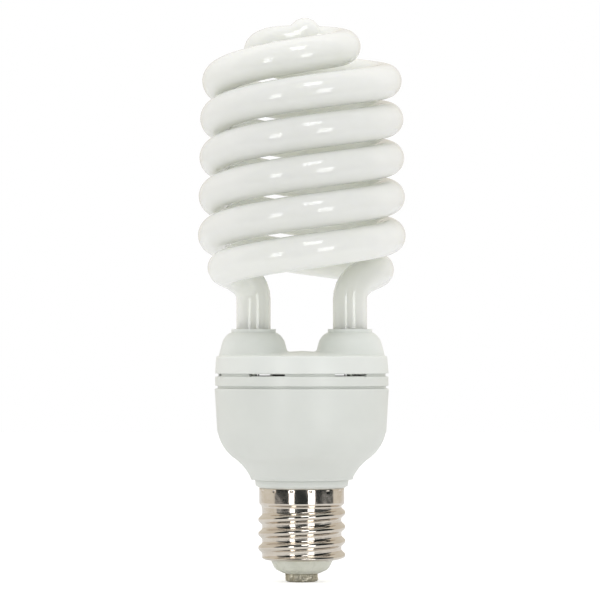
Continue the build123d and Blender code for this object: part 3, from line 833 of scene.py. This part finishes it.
def cover_column(angle):
    """One line of points from the collar down a dome and out to the cover's edge."""
    out = Vector((math.cos(angle), math.sin(angle)))
    # How far the crown reaches this way: to its round edge or to the mirror plane.
    along = LEG_OFFSET * out.x
    edge = -along + math.sqrt(along**2 + CROWN_EDGE**2 - LEG_OFFSET**2)
    to_mirror = LEG_OFFSET / -out.x if out.x < -1e-9 else math.inf
    reach = min(edge, to_mirror)
    low = dome_foot.copy()
    for _ in range(6):
        ground = crown_height(LEG_OFFSET + out.x * low.x, out.y * low.x)
        low += side_slope * (ground - low.y) / side_slope.y
    room = min(COVER_FILLET, FILLET_ROOM * (reach - low.x))
    above = low + side_slope * min(COVER_FILLET, FILLET_RISE * room + LEAST_RISE)
    beside = low.x + room
    column = dome_curve + straight(dome_side, above, 3)
    for step in range(1, 7):
        t = step / 6
        r = above.x * (1 - t) ** 2 + 2 * low.x * t * (1 - t) + beside * t**2
        ground = crown_height(LEG_OFFSET + out.x * r, out.y * r)
        lift = (above.y - ground) * (1 - t) ** 2
        column.append((r, ground + lift * (1 - t) ** 0.5))
    for step in range(1, 13):
        r = beside + (reach - beside) * step / 12
        column.append((r, crown_height(LEG_OFFSET + out.x * r, out.y * r)))
    points = [(LEG_OFFSET + out.x * r, out.y * r, z) for r, z in column]
    if edge <= to_mirror + 1e-9:
        last = Vector(points[-1][:2]).normalized()
        points += [(last.x * r, last.y * r, z) for r, z in rim_curve]
    return points


corner = math.atan2(CROWN_EDGE, -LEG_OFFSET)
half_columns = DOME_COLUMNS // 3
angles = [-corner + 2 * corner * k / (2 * half_columns) for k in range(2 * half_columns + 1)]
angles += [corner + (2 * math.pi - 2 * corner) * k / half_columns for k in range(1, half_columns)]
columns = [cover_column(angle) for angle in angles]
vertices, faces = [], []
for mirror in (1, -1):
    starts = []
    for column in columns:
        starts.append(len(vertices))
        vertices += [(x * mirror, y, z) for x, y, z in column]
    for index, column in enumerate(columns):
        beside = (index + 1) % len(columns)
        for row in range(min(len(column), len(columns[beside])) - 1):
            a, b = starts[index] + row, starts[beside] + row
            faces.append((a, b, b + 1, a + 1) if mirror > 0 else (a, a + 1, b + 1, b))
cover_skin = plain_mesh("cover skin", vertices, faces)
cover_mesh = with_modifiers(
    cover_skin,
    ("SOLIDIFY", {"thickness": COVER_WALL * MM, "offset": -1.0, "use_even_offset": True}),
    (
        "BEVEL",
        {"width": COVER_EDGE * MM, "segments": 2, "limit_method": "ANGLE", "angle_limit": 1.0},
    ),
)
dress("domed_cover", cover_mesh, cover_plastic_painted_lighter, ["top_cover"])

# %% [markdown]
# The vent ring keeps its CAD mesh, whose slots are cut exactly, and only takes the finish.

# %% Vent ring
finish_node("vent_ring", housing_plastic)
print("vent_ring:", housing_plastic.name)


# %% [markdown]
# The screw shell is thin brass, rolled to shape and nickel plated. Nickel is a mirror with
# a warm tint. The rolling leaves faint lines round the shell and a slight unevenness that
# breaks up the reflections.

# %% Finish of the nickel plate
def build_nickel():
    """Bright plate with rolling lines round it and slow waves in the sheet."""
    material, tree, shader, place = start_material(
        "nickel plate", {"Metallic": 1.0, "Roughness": 0.12, "IOR": 1.5}
    )
    plate = drifting_colour(tree, place, 90.0, paint(216, 207, 196), paint(226, 219, 209))
    tree.links.new(plate, shader.inputs["Base Color"])
    handled_sheen(tree, shader, place, 140.0, 0.4, 0.09, 0.2)
    # Rolling lines run round the shell, so their pattern is stretched sideways.
    lines = add_node(tree, "ShaderNodeMapping", {"Vector": place, "Scale": (30.0, 30.0, 1800.0)})
    rolled = add_noise(tree, lines.outputs[0], 1.0, Detail=3.0)
    waves = add_noise(tree, place, 260.0, Detail=1.0)
    uneven = add_node(
        tree, "ShaderNodeMath", {0: waves, 1: 6.0, 2: rolled}, operation="MULTIPLY_ADD"
    ).outputs[0]
    add_bump(tree, shader, uneven, 0.35, 0.00001)
    return material


nickel = build_nickel()
print("Finish:", nickel.name)

# %% [markdown]
# The thread follows a rule too: one rounded ridge that climbs by a pitch in each turn. The
# tree takes the smooth shell and moves each point outwards by the height of the nearest
# ridge. The ridge fades in at the lip and runs out under the plain band. The same tree
# punches the row of small dents that stake the shell to the collar.

# %% A Geometry Nodes tree for a rolled screw shell
def build_thread_tree():
    """A tree that lifts a thread's ridge out of a turned shell and punches staking dents."""
    tree, given = start_geometry(
        "rolled screw shell",
        {"Dents": "NodeSocketInt", "Dent Turn": "NodeSocketVector"},
        [
            "Pitch", "First Crest", "Turns Before", "Turns", "Run Out", "Crest Roundness",
            "Root Radius", "Ridge Height", "Half Ridge", "Lip Bottom", "Lip Height",
            "Dent Height", "Dent Radius", "Dent Size", "Dent Depth",
        ],
    )

    def value(name):
        return Formula(tree, given[name])

    here = add_node(tree, "GeometryNodeInputPosition").outputs[0]
    split = add_node(tree, "ShaderNodeSeparateXYZ", {"Vector": here}).outputs
    x, y, z = (Formula(tree, split[axis]) for axis in ("X", "Y", "Z"))
    # Share of a turn from the back of the lamp, counted the way the thread climbs.
    turn = (y.math("ARCTAN2", x) * (0.5 / math.pi) + 0.75).math("FRACT")
    climbed = (z - value("First Crest")) / value("Pitch") - turn
    nearest = climbed.math("ROUND")
    along = nearest + turn
    off_crest = ((climbed - nearest) * value("Pitch") / value("Half Ridge")).math("ABSOLUTE")
    slope = (off_crest.math("MINIMUM", 1.0) * math.pi).math("COSINE") * -0.5 + 0.5
    # A rolled crest is rounder than a plain wave.
    hill = slope.math("POWER", value("Crest Roundness")) * -1.0 + 1.0
    above_lip = ((z - value("Lip Bottom")) / value("Lip Height")).math("MINIMUM", 1.0)
    fade_in = ((along + value("Turns Before")) / value("Run Out")).math("MINIMUM", 1.0)
    fade_out = ((value("Turns") - along) / value("Run Out")).math("MINIMUM", 1.0)
    fade = fade_in.math("MAXIMUM", 0.0) * fade_out.math("MAXIMUM", 0.0)
    ridge = hill * fade * above_lip.math("MAXIMUM", 0.0) * value("Ridge Height")
    radius = (x * x + y * y).math("SQRT")
    already = (radius - value("Root Radius")).math("MAXIMUM", 0.0)
    lift = (ridge - already).math("MAXIMUM", 0.0)
    ring = add_node(
        tree,
        "GeometryNodeMeshCircle",
        {"Vertices": given["Dents"], "Radius": given["Dent Radius"]},
    )
    middle = add_node(tree, "ShaderNodeCombineXYZ", {"Z": given["Dent Height"]}).outputs[0]
    raised = add_node(
        tree,
        "GeometryNodeTransform",
        {"Geometry": ring.outputs[0], "Translation": middle, "Rotation": given["Dent Turn"]},
    )
    punches = add_node(tree, "GeometryNodeMeshToPoints", {"Mesh": raised.outputs[0]})
    nearby = tree.nodes.new("GeometryNodeProximity")
    nearby.target_element = "POINTS"
    tree.links.new(punches.outputs[0], nearby.inputs[0])
    away = Formula(tree, nearby.outputs["Distance"]) / value("Dent Size")
    hollow = (away.math("MINIMUM", 1.0) * math.pi).math("COSINE") * 0.5 + 0.5
    move = lift - hollow * value("Dent Depth")
    sideways = vector_math(tree, "MULTIPLY", here, (1.0, 1.0, 0.0))[0]
    outward = vector_math(tree, "NORMALIZE", sideways)[0]
    shift = vector_math(tree, "SCALE", outward, Scale=move.socket)[0]
    placed = add_node(
        tree, "GeometryNodeSetPosition", {"Geometry": given["Geometry"], "Offset": shift}
    )
    end_geometry(tree, given, placed.outputs[0])
    return tree


thread_tree = build_thread_tree()
print("Tree:", thread_tree.name, "with", len(thread_tree.nodes), "nodes")

# %% Screw shell
ROOT_RADIUS = 17.9
BAND_RADIUS = 19.2
SHEET = 0.45
LIP_RADIUS = 14.15
LIP_ROUND = (3.0, 1.35)
STEP_HEIGHT = 1.8
STEP_ROWS = 9
THREAD_ROWS = 108
BAND_ROWS = 26
thread_low, thread_high = SHELL_BOTTOM + LIP_ROUND[1], SHELL_TOP - 8.7
band_low, band_high = thread_high + STEP_HEIGHT, SHELL_TOP - 0.75
shell_profile = [(LIP_RADIUS, SHELL_BOTTOM)]
shell_profile += [
    (
        ROOT_RADIUS - LIP_ROUND[0] * (1 - math.sin(a)),
        SHELL_BOTTOM + LIP_ROUND[1] * (1 - math.cos(a)),
    )
    for a in (math.radians(7.5 * k) for k in range(13))
]
shell_profile += straight((ROOT_RADIUS, thread_low), (ROOT_RADIUS, thread_high), THREAD_ROWS)
for row in range(1, STEP_ROWS + 1):
    risen = 0.5 - 0.5 * math.cos(math.pi * row / STEP_ROWS)
    radius = ROOT_RADIUS + (BAND_RADIUS - ROOT_RADIUS) * risen
    shell_profile.append((radius, thread_high + STEP_HEIGHT * row / STEP_ROWS))
shell_profile += straight((BAND_RADIUS, band_low), (BAND_RADIUS, band_high), BAND_ROWS)
# The top edge is rolled in a little, so that it mirrors the white collar above it.
shell_profile += [(BAND_RADIUS - 0.02, band_high + 0.2), (BAND_RADIUS - 0.08, band_high + 0.4)]
shell_profile += [(BAND_RADIUS - 0.18, band_high + 0.59), (BAND_RADIUS - 0.32, SHELL_TOP)]
vertices, faces = spin_profile(shell_profile, False, 300)
shell_skin = plain_mesh("shell skin", vertices, faces)
shell_rolled = run_geometry(
    "shell rolled",
    shell_skin,
    thread_tree,
    {
        "Pitch": 6.35 * MM,
        "First Crest": 13.45 * MM,
        "Turns Before": 0.85,
        "Turns": 3.3,
        "Run Out": 0.3,
        "Crest Roundness": 1.35,
        "Root Radius": ROOT_RADIUS * MM,
        "Ridge Height": 1.75 * MM,
        "Half Ridge": 2.6 * MM,
        "Lip Bottom": SHELL_BOTTOM * MM,
        "Lip Height": 1.2 * MM,
        "Dents": 14,
        "Dent Height": 41.0 * MM,
        "Dent Radius": BAND_RADIUS * MM,
        "Dent Size": 0.9 * MM,
        "Dent Depth": 0.22 * MM,
        "Dent Turn": (0.0, 0.0, -0.02),
        "Material": nickel,
    },
)
shell_mesh = with_modifiers(
    shell_rolled, ("SOLIDIFY", {"thickness": SHEET * MM, "offset": -1.0, "use_even_offset": True})
)
dress("threaded_shell", shell_mesh, nickel, ["screw_shell"])

# %% [markdown]
# Under the shell sits a button of pale insulating glass, cast round the shell's lip, and
# in its middle the centre contact: a brass eyelet drowned in solder, so it is grey, lumpy
# and crimped round its edge.

# %% Finish of the insulator, the contact and the solder
def build_insulator_glass():
    """The pale, slightly waxy glass of the button."""
    material, tree, shader, place = start_material(
        "pale insulator",
        {
            "IOR": 1.5,
            "Specular IOR Level": 0.5,
            "Subsurface Weight": 0.3,
            "Subsurface Radius": (1.0, 1.0, 0.9),
            "Subsurface Scale": 0.002,
        },
    )
    body = drifting_colour(tree, place, 130.0, paint(221, 223, 209), paint(233, 234, 223))
    tree.links.new(body, shader.inputs["Base Color"])
    handled_sheen(tree, shader, place, 160.0, 0.4, 0.25, 0.42)
    return material


def build_solder(name, light, dark, scale):
    """Lumpy grey metal, shinier where it stands out, painted lighter there and darker between the
    lumps: painted highlight and painted shade.
    """
    material, tree, shader, place = start_material(name, {"Metallic": 0.9, "IOR": 1.5})
    lumps = add_noise(tree, place, scale, Detail=5.0, Roughness=0.65, Distortion=0.6)
    # The colour follows the lumps' height: painted highlight on the raised lumps, painted shade
    # between them.
    tree.links.new(between_colours(tree, lumps, dark, light), shader.inputs["Base Color"])
    tree.links.new(between_numbers(tree, lumps, 0.55, 0.25), shader.inputs["Roughness"])
    add_bump(tree, shader, lumps, 0.8, 0.0003)
    return material


insulator_glass = build_insulator_glass()
contact_metal = build_solder("crimped contact", paint(253, 247, 226), paint(108, 104, 90), 330.0)
solder = build_solder("solder", paint(205, 203, 198), paint(140, 139, 134), 500.0)
print("Finishes:", insulator_glass.name, contact_metal.name, solder.name)

# %% Insulator button
CONTACT_RADIUS = 7.5
CONTACT_TOP = 3.7
EYELET_RADIUS = 3.0
EYELET_BORE = 1.5
EYELET_TOP = 9.7
BUTTON_FACE = 8.0
BUTTON_NECK = 14.0
BUTTON_FLANGE = 15.4
BUTTON_CAVITY = 6.0
FLANGE_BOTTOM = 10.3
BUTTON_TOP = 12.7
# The corner that the button's round cheek is drawn in: its radius, height and rounding.
BUTTON_CHEEK = (12.1, 5.6, 4.5)
hole_top = CONTACT_TOP + 2.2
hole = EYELET_RADIUS + 0.05
button_profile = rounded(
    [
        (BUTTON_CAVITY, hole_top, 0.0),
        (hole, hole_top, 0.0),
        (hole, CONTACT_TOP, 0.0),
        (BUTTON_FACE, CONTACT_TOP, 0.5),
        BUTTON_CHEEK,
        (BUTTON_NECK, SHELL_BOTTOM, 0.3),
        (BUTTON_NECK, FLANGE_BOTTOM, 0.0),
        (BUTTON_FLANGE, FLANGE_BOTTOM, 0.3),
        (BUTTON_FLANGE, BUTTON_TOP, 0.4),
        (BUTTON_CAVITY, BUTTON_TOP, 0.2),
    ],
    steps=8,
)
turned_piece(
    "insulator_button", button_profile, 160, insulator_glass, ["base_insulator"]
)

# %% Crimped contact
# The crimp is full at the contact's edge, and is gone at its middle and above its top.
CRIMP_FROM, CRIMP_FULL = 4.5, 7.0
CRIMP_TOP, CRIMP_FADE = 4.2, 0.6
CRIMP_DEPTH = 0.8
FOLDS_ROUND = 3.1
FOLDS_UP = 0.35
LUMPS = 0.9
LUMPS_START = Vector((7.0, 3.0, 1.0))
FACE_SINK = 0.25


def clamped(share):
    """A share that is kept between 0 and 1."""
    return min(max(share, 0), 1)


def crimped(vertices):
    """Pushes a turned disc's points about: folds round the edge, and lumps of solder."""
    moved = []
    for x, y, z in vertices:
        r = math.hypot(x, y)
        if r < 1e-6:
            moved.append((x, y, z))
            continue
        edge = clamped((r - CRIMP_FROM) / (CRIMP_FULL - CRIMP_FROM))
        edge *= clamped((CRIMP_TOP - z) / CRIMP_FADE)
        round_edge = Vector((x, y, 0)) * FOLDS_ROUND / r
        folds = noise.noise(round_edge + Vector((0, 0, z * FOLDS_UP)))
        lumps = noise.noise(Vector((x, y, z)) * LUMPS + LUMPS_START)
        inward = CRIMP_DEPTH * edge * (0.45 + 1.1 * folds + 0.5 * lumps)
        share = max(r - max(inward, 0.0), 0.0) / r
        sink = FACE_SINK * edge * max(lumps, 0.0) if z < 1.0 else 0.0
        moved.append((x * share, y * share, z + sink))
    return moved


contact_profile = rounded(
    [
        (EYELET_BORE, 0.0, 0.1),
        (CONTACT_RADIUS, 0.0, 0.9),
        (CONTACT_RADIUS, CONTACT_TOP, 0.5),
        (EYELET_RADIUS, CONTACT_TOP, 0.0),
        (EYELET_RADIUS, EYELET_TOP, 0.0),
        (EYELET_BORE, EYELET_TOP, 0.0),
    ],
    steps=6,
)
# The folds need more points than the outline's corners.
POINT_SPACING = 0.3
dense = []
for here, after in zip(contact_profile, contact_profile[1:] + contact_profile[:1]):
    parts = max(1, round((Vector(after) - Vector(here)).length / POINT_SPACING))
    dense += straight(here, after, parts)
vertices, faces = spin_profile(dense, True, 180)
contact_mesh = plain_mesh("contact disc", crimped(vertices), faces)
dress("crimped_contact", contact_mesh, contact_metal, ["centre_contact"])


# %% [markdown]
# The pieces inside can't be seen in the photo, but anyone who opens the lamp in the
# library will see them, so each gets a true finish too. Nearly all of them are one recipe:
# two tones mixed by a noise, a sheen and a small bump. The recipe takes the grain's scale
# and the way it is stretched, so paper laminate, wound wire and ferrite all come from it.

# %% Finishes of the inner pieces
def build_inner(name, light, dark, scale, stretch, sheen, depth, plain):
    """A finish with two mixed tones, a sheen that follows them and a fine bump."""
    material, tree, shader, place = start_material(name, plain)
    drawn = add_node(tree, "ShaderNodeMapping", {"Vector": place, "Scale": stretch}).outputs[0]
    grain = add_noise(tree, drawn, scale, Detail=5.0, Roughness=0.6)
    share = stretched(tree, grain, 0.35, 0.65)
    body = between_colours(tree, share, paint(*dark), paint(*light))
    tree.links.new(body, shader.inputs["Base Color"])
    tree.links.new(between_numbers(tree, grain, *sheen), shader.inputs["Roughness"])
    add_bump(tree, shader, grain, 0.4, depth)
    return material


EVEN = (1.0, 1.0, 1.0)
COAT = {"Coat Weight": 0.6, "Coat Roughness": 0.1}
# For each slot: its pieces, then its finish as build_inner takes it.
inner_slots = {
    "clear_glass": (
        ["left_stem", "right_stem"],
        "clear glass", (226, 236, 232), (214, 228, 223), 120.0, EVEN, (0.02, 0.06), 0.00001,
        {"Transmission Weight": 1.0, "IOR": 1.5},
    ),
    "tinned_wire": (
        ["left_electrode", "right_electrode", "board_pins"]
        + ["contact_lead", "fuse_lead", "shell_lead"],
        "tinned wire", (214, 213, 208), (170, 169, 163), 900.0, (1.0, 1.0, 0.15), (0.22, 0.4),
        0.00001, {"Metallic": 1.0},
    ),
    "cement": (
        ["left_cement", "right_cement"],
        "cement", (224, 221, 206), (196, 192, 175), 900.0, EVEN, (0.8, 0.95), 0.0001, {},
    ),
    "board": (
        ["ballast_board"],
        "paper laminate", (196, 160, 96), (160, 122, 64), 500.0, (1.0, 6.0, 1.0), (0.45, 0.6),
        0.00002, {},
    ),
    "capacitor_sleeve": (
        ["left_capacitor", "right_capacitor"],
        "capacitor sleeve", (38, 42, 56), (24, 27, 38), 300.0, EVEN, (0.2, 0.35), 0.00002, COAT,
    ),
    "ferrite": (
        ["choke_core", "filter_choke_core", "drive_ring"],
        "ferrite", (74, 73, 74), (46, 46, 48), 1400.0, EVEN, (0.55, 0.8), 0.00005, {},
    ),
    "copper_winding": (
        ["choke_winding", "filter_choke_winding"],
        "enamelled copper", (198, 118, 62), (120, 54, 24), 260.0, (1.0, 1.0, 14.0), (0.2, 0.35),
        0.0001, {"Metallic": 0.85, **COAT},
    ),
    "film_case": (
        ["film_capacitors"],
        "dipped film case", (176, 44, 28), (132, 26, 16), 220.0, EVEN, (0.15, 0.3), 0.0001, COAT,
    ),
    "black_epoxy": (
        ["power_transistors", "rectifier_diodes"],
        "black epoxy", (46, 46, 47), (30, 30, 31), 1500.0, EVEN, (0.5, 0.7), 0.00002, {},
    ),
    "resistor_body": (
        ["resistors", "fuse_resistor"],
        "resistor paint", (158, 190, 202), (128, 164, 180), 500.0, EVEN, (0.4, 0.55), 0.00003, {},
    ),
}
for slot_name, (node_names, *recipe) in inner_slots.items():
    finish = build_inner(*recipe)
    for node_name in node_names:
        finish_node(node_name, finish)
    print(slot_name + ":", ", ".join(node_names))
finish_node("contact_solder", solder)
print("solder: contact_solder")

# %% [markdown]
# The set. The photo was taken on seamless white, so the floor and the sky behind are white
# to the camera. A mirror needs something dark to show against, though: in the real studio
# the room behind the camera was dim, and the nickel shows it as a dark stripe. So the world
# is white only to the camera. To a mirror it is dim in front of the lamp and pale at its
# sides and back. To matt surfaces it is white paper all round, a little brighter behind.

# %% Floor
BLACK = (0.0, 0.0, 0.0, 1.0)
WHITE = (1.0, 1.0, 1.0, 1.0)
FLOOR_SIDE = 600.0
FLOOR_FRONT = -300.0
FLOOR_BACK = 3000.0


def build_floor():
    """White paper that keeps the lamp's shadow and stays white to the camera."""
    material, tree, shader, place = start_material(
        "studio floor", {"Emission Strength": 0.45, "Roughness": 0.9}
    )
    paper = drifting_colour(tree, place, 3.0, paint(243, 243, 243), paint(246, 246, 246))
    tree.links.new(paper, shader.inputs["Base Color"])
    # Lit from below, as product tables are, but only for the camera.
    seen = add_node(tree, "ShaderNodeLightPath").outputs["Is Camera Ray"]
    glow = between_colours(tree, seen, BLACK, WHITE)
    tree.links.new(glow, shader.inputs["Emission Color"])
    return material


floor_mesh = plain_mesh(
    "floor",
    [
        (-FLOOR_SIDE, FLOOR_FRONT, 0.0),
        (FLOOR_SIDE, FLOOR_FRONT, 0.0),
        (FLOOR_SIDE, FLOOR_BACK, 0.0),
        (-FLOOR_SIDE, FLOOR_BACK, 0.0),
    ],
    [(0, 1, 2, 3)],
)
floor = add_object("floor", floor_mesh)
floor_mesh.materials.append(build_floor())
print(f"Floor: {2 * FLOOR_SIDE:.0f} by {FLOOR_BACK - FLOOR_FRONT:.0f} mm of white paper")

# %% World
# The dim part of the room: its middle, to the right of the camera, its edge and its blur.
DIM_MIDDLE = math.radians(8)
DIM_EDGE = math.cos(math.radians(86))
DIM_BLUR = 0.04
ROOM_SIDES = (0.74, 0.70, 0.625, 1.0)
ROOM_DIM = (0.026, 0.031, 0.033, 1.0)
# The paper behind the lamp is lit the most, and the paper in front of it the least.
BEST_LIT = (0.0, 0.85, 0.25)
BEST_LIT_REACH = 0.9
PAPER_LOW = (0.70, 0.70, 0.695, 1.0)
PAPER_HIGH = (1.10, 1.10, 1.10, 1.0)
world = bpy.data.worlds.new("studio")
scene.world = world
world.use_nodes = True
sky = world.node_tree
background = sky.nodes["Background"]
direction = add_node(sky, "ShaderNodeTexCoord").outputs["Generated"]
dim_way = (math.sin(DIM_MIDDLE), -math.cos(DIM_MIDDLE), 0.0)
toward_dim = vector_math(sky, "DOT_PRODUCT", direction, dim_way)["Value"]
in_dim = stretched(sky, toward_dim, DIM_EDGE - DIM_BLUR, DIM_EDGE + DIM_BLUR, "SMOOTHSTEP")
room = between_colours(sky, in_dim, ROOM_SIDES, ROOM_DIM)
toward_lit = vector_math(sky, "DOT_PRODUCT", direction, BEST_LIT)["Value"]
in_lit = stretched(sky, toward_lit, -BEST_LIT_REACH, BEST_LIT_REACH)
paper_light = between_colours(sky, in_lit, PAPER_LOW, PAPER_HIGH)
ray = add_node(sky, "ShaderNodeLightPath").outputs
tent = between_colours(sky, ray["Is Diffuse Ray"], room, paper_light)
shown = between_colours(sky, ray["Is Camera Ray"], tent, WHITE)
sky.links.new(shown, background.inputs["Color"])
print("World:", world.name, "with", len(sky.nodes), "nodes")

# %% [markdown]
# Three soft boxes draw the highlights. Their places are read off the photo: on a round
# tube of known size, a highlight's place gives the light's direction by the law of the
# mirror. The matt light comes from the paper all round, so the two at the sides show only
# in reflections, and the top one also lights what faces it.

# %% Soft boxes
LIGHT_DISTANCE = 1.2
LIGHTS_AIM = Vector((0.0, 0.0, 0.13))


def softbox(name, azimuth, elevation, width, height, radiance, lights_matt):
    """A rectangular light that faces the lamp, placed and sized in degrees as it sees it."""
    a, e = math.radians(azimuth), math.radians(elevation)
    away = Vector((math.sin(a) * math.cos(e), -math.cos(a) * math.cos(e), math.sin(e)))
    light = bpy.data.lights.new(name, "AREA")
    light.shape = "RECTANGLE"
    light.size = 2 * LIGHT_DISTANCE * math.tan(math.radians(width / 2))
    light.size_y = 2 * LIGHT_DISTANCE * math.tan(math.radians(height / 2))
    light.energy = radiance * math.pi * light.size * light.size_y
    box = add_object(name, light)
    box.location = LIGHTS_AIM + away * LIGHT_DISTANCE
    box.rotation_euler = away.to_track_quat("Z", "Y").to_euler()
    box.visible_diffuse = lights_matt
    print(f"{name}: {light.size:.2f} by {light.size_y:.2f} m, {light.energy:.1f} W")


softbox("left softbox", -27.5, 2.0, 13.0, 24.0, 4.0, False)
softbox("right softbox", 26.5, 1.0, 17.0, 24.0, 4.0, False)
softbox("top softbox", 8.0, 50.5, 17.0, 22.0, 4.5, True)

# %% [markdown]
# The camera stands well back with a long lens, as product photographers do, so the lamp's
# sides run nearly parallel. It is level with the housing and tilts up by a degree.

# %% Camera
CAMERA_PLACE = Vector((-0.0008, -1.5, 0.100))
CAMERA_AIM = Vector((-0.0008, 0.0, 0.1265))
camera_data = bpy.data.cameras.new("camera")
camera_data.lens = 200.0
camera_data.sensor_width = 36.0
camera = add_object("camera", camera_data)
camera.location = CAMERA_PLACE
camera.rotation_euler = (CAMERA_PLACE - CAMERA_AIM).to_track_quat("Z", "Y").to_euler()
scene.camera = camera
scene.view_settings.view_transform = "Standard"
print(f"Camera: {camera_data.lens:.0f} mm lens, {-CAMERA_PLACE.y:.1f} m in front of the lamp")
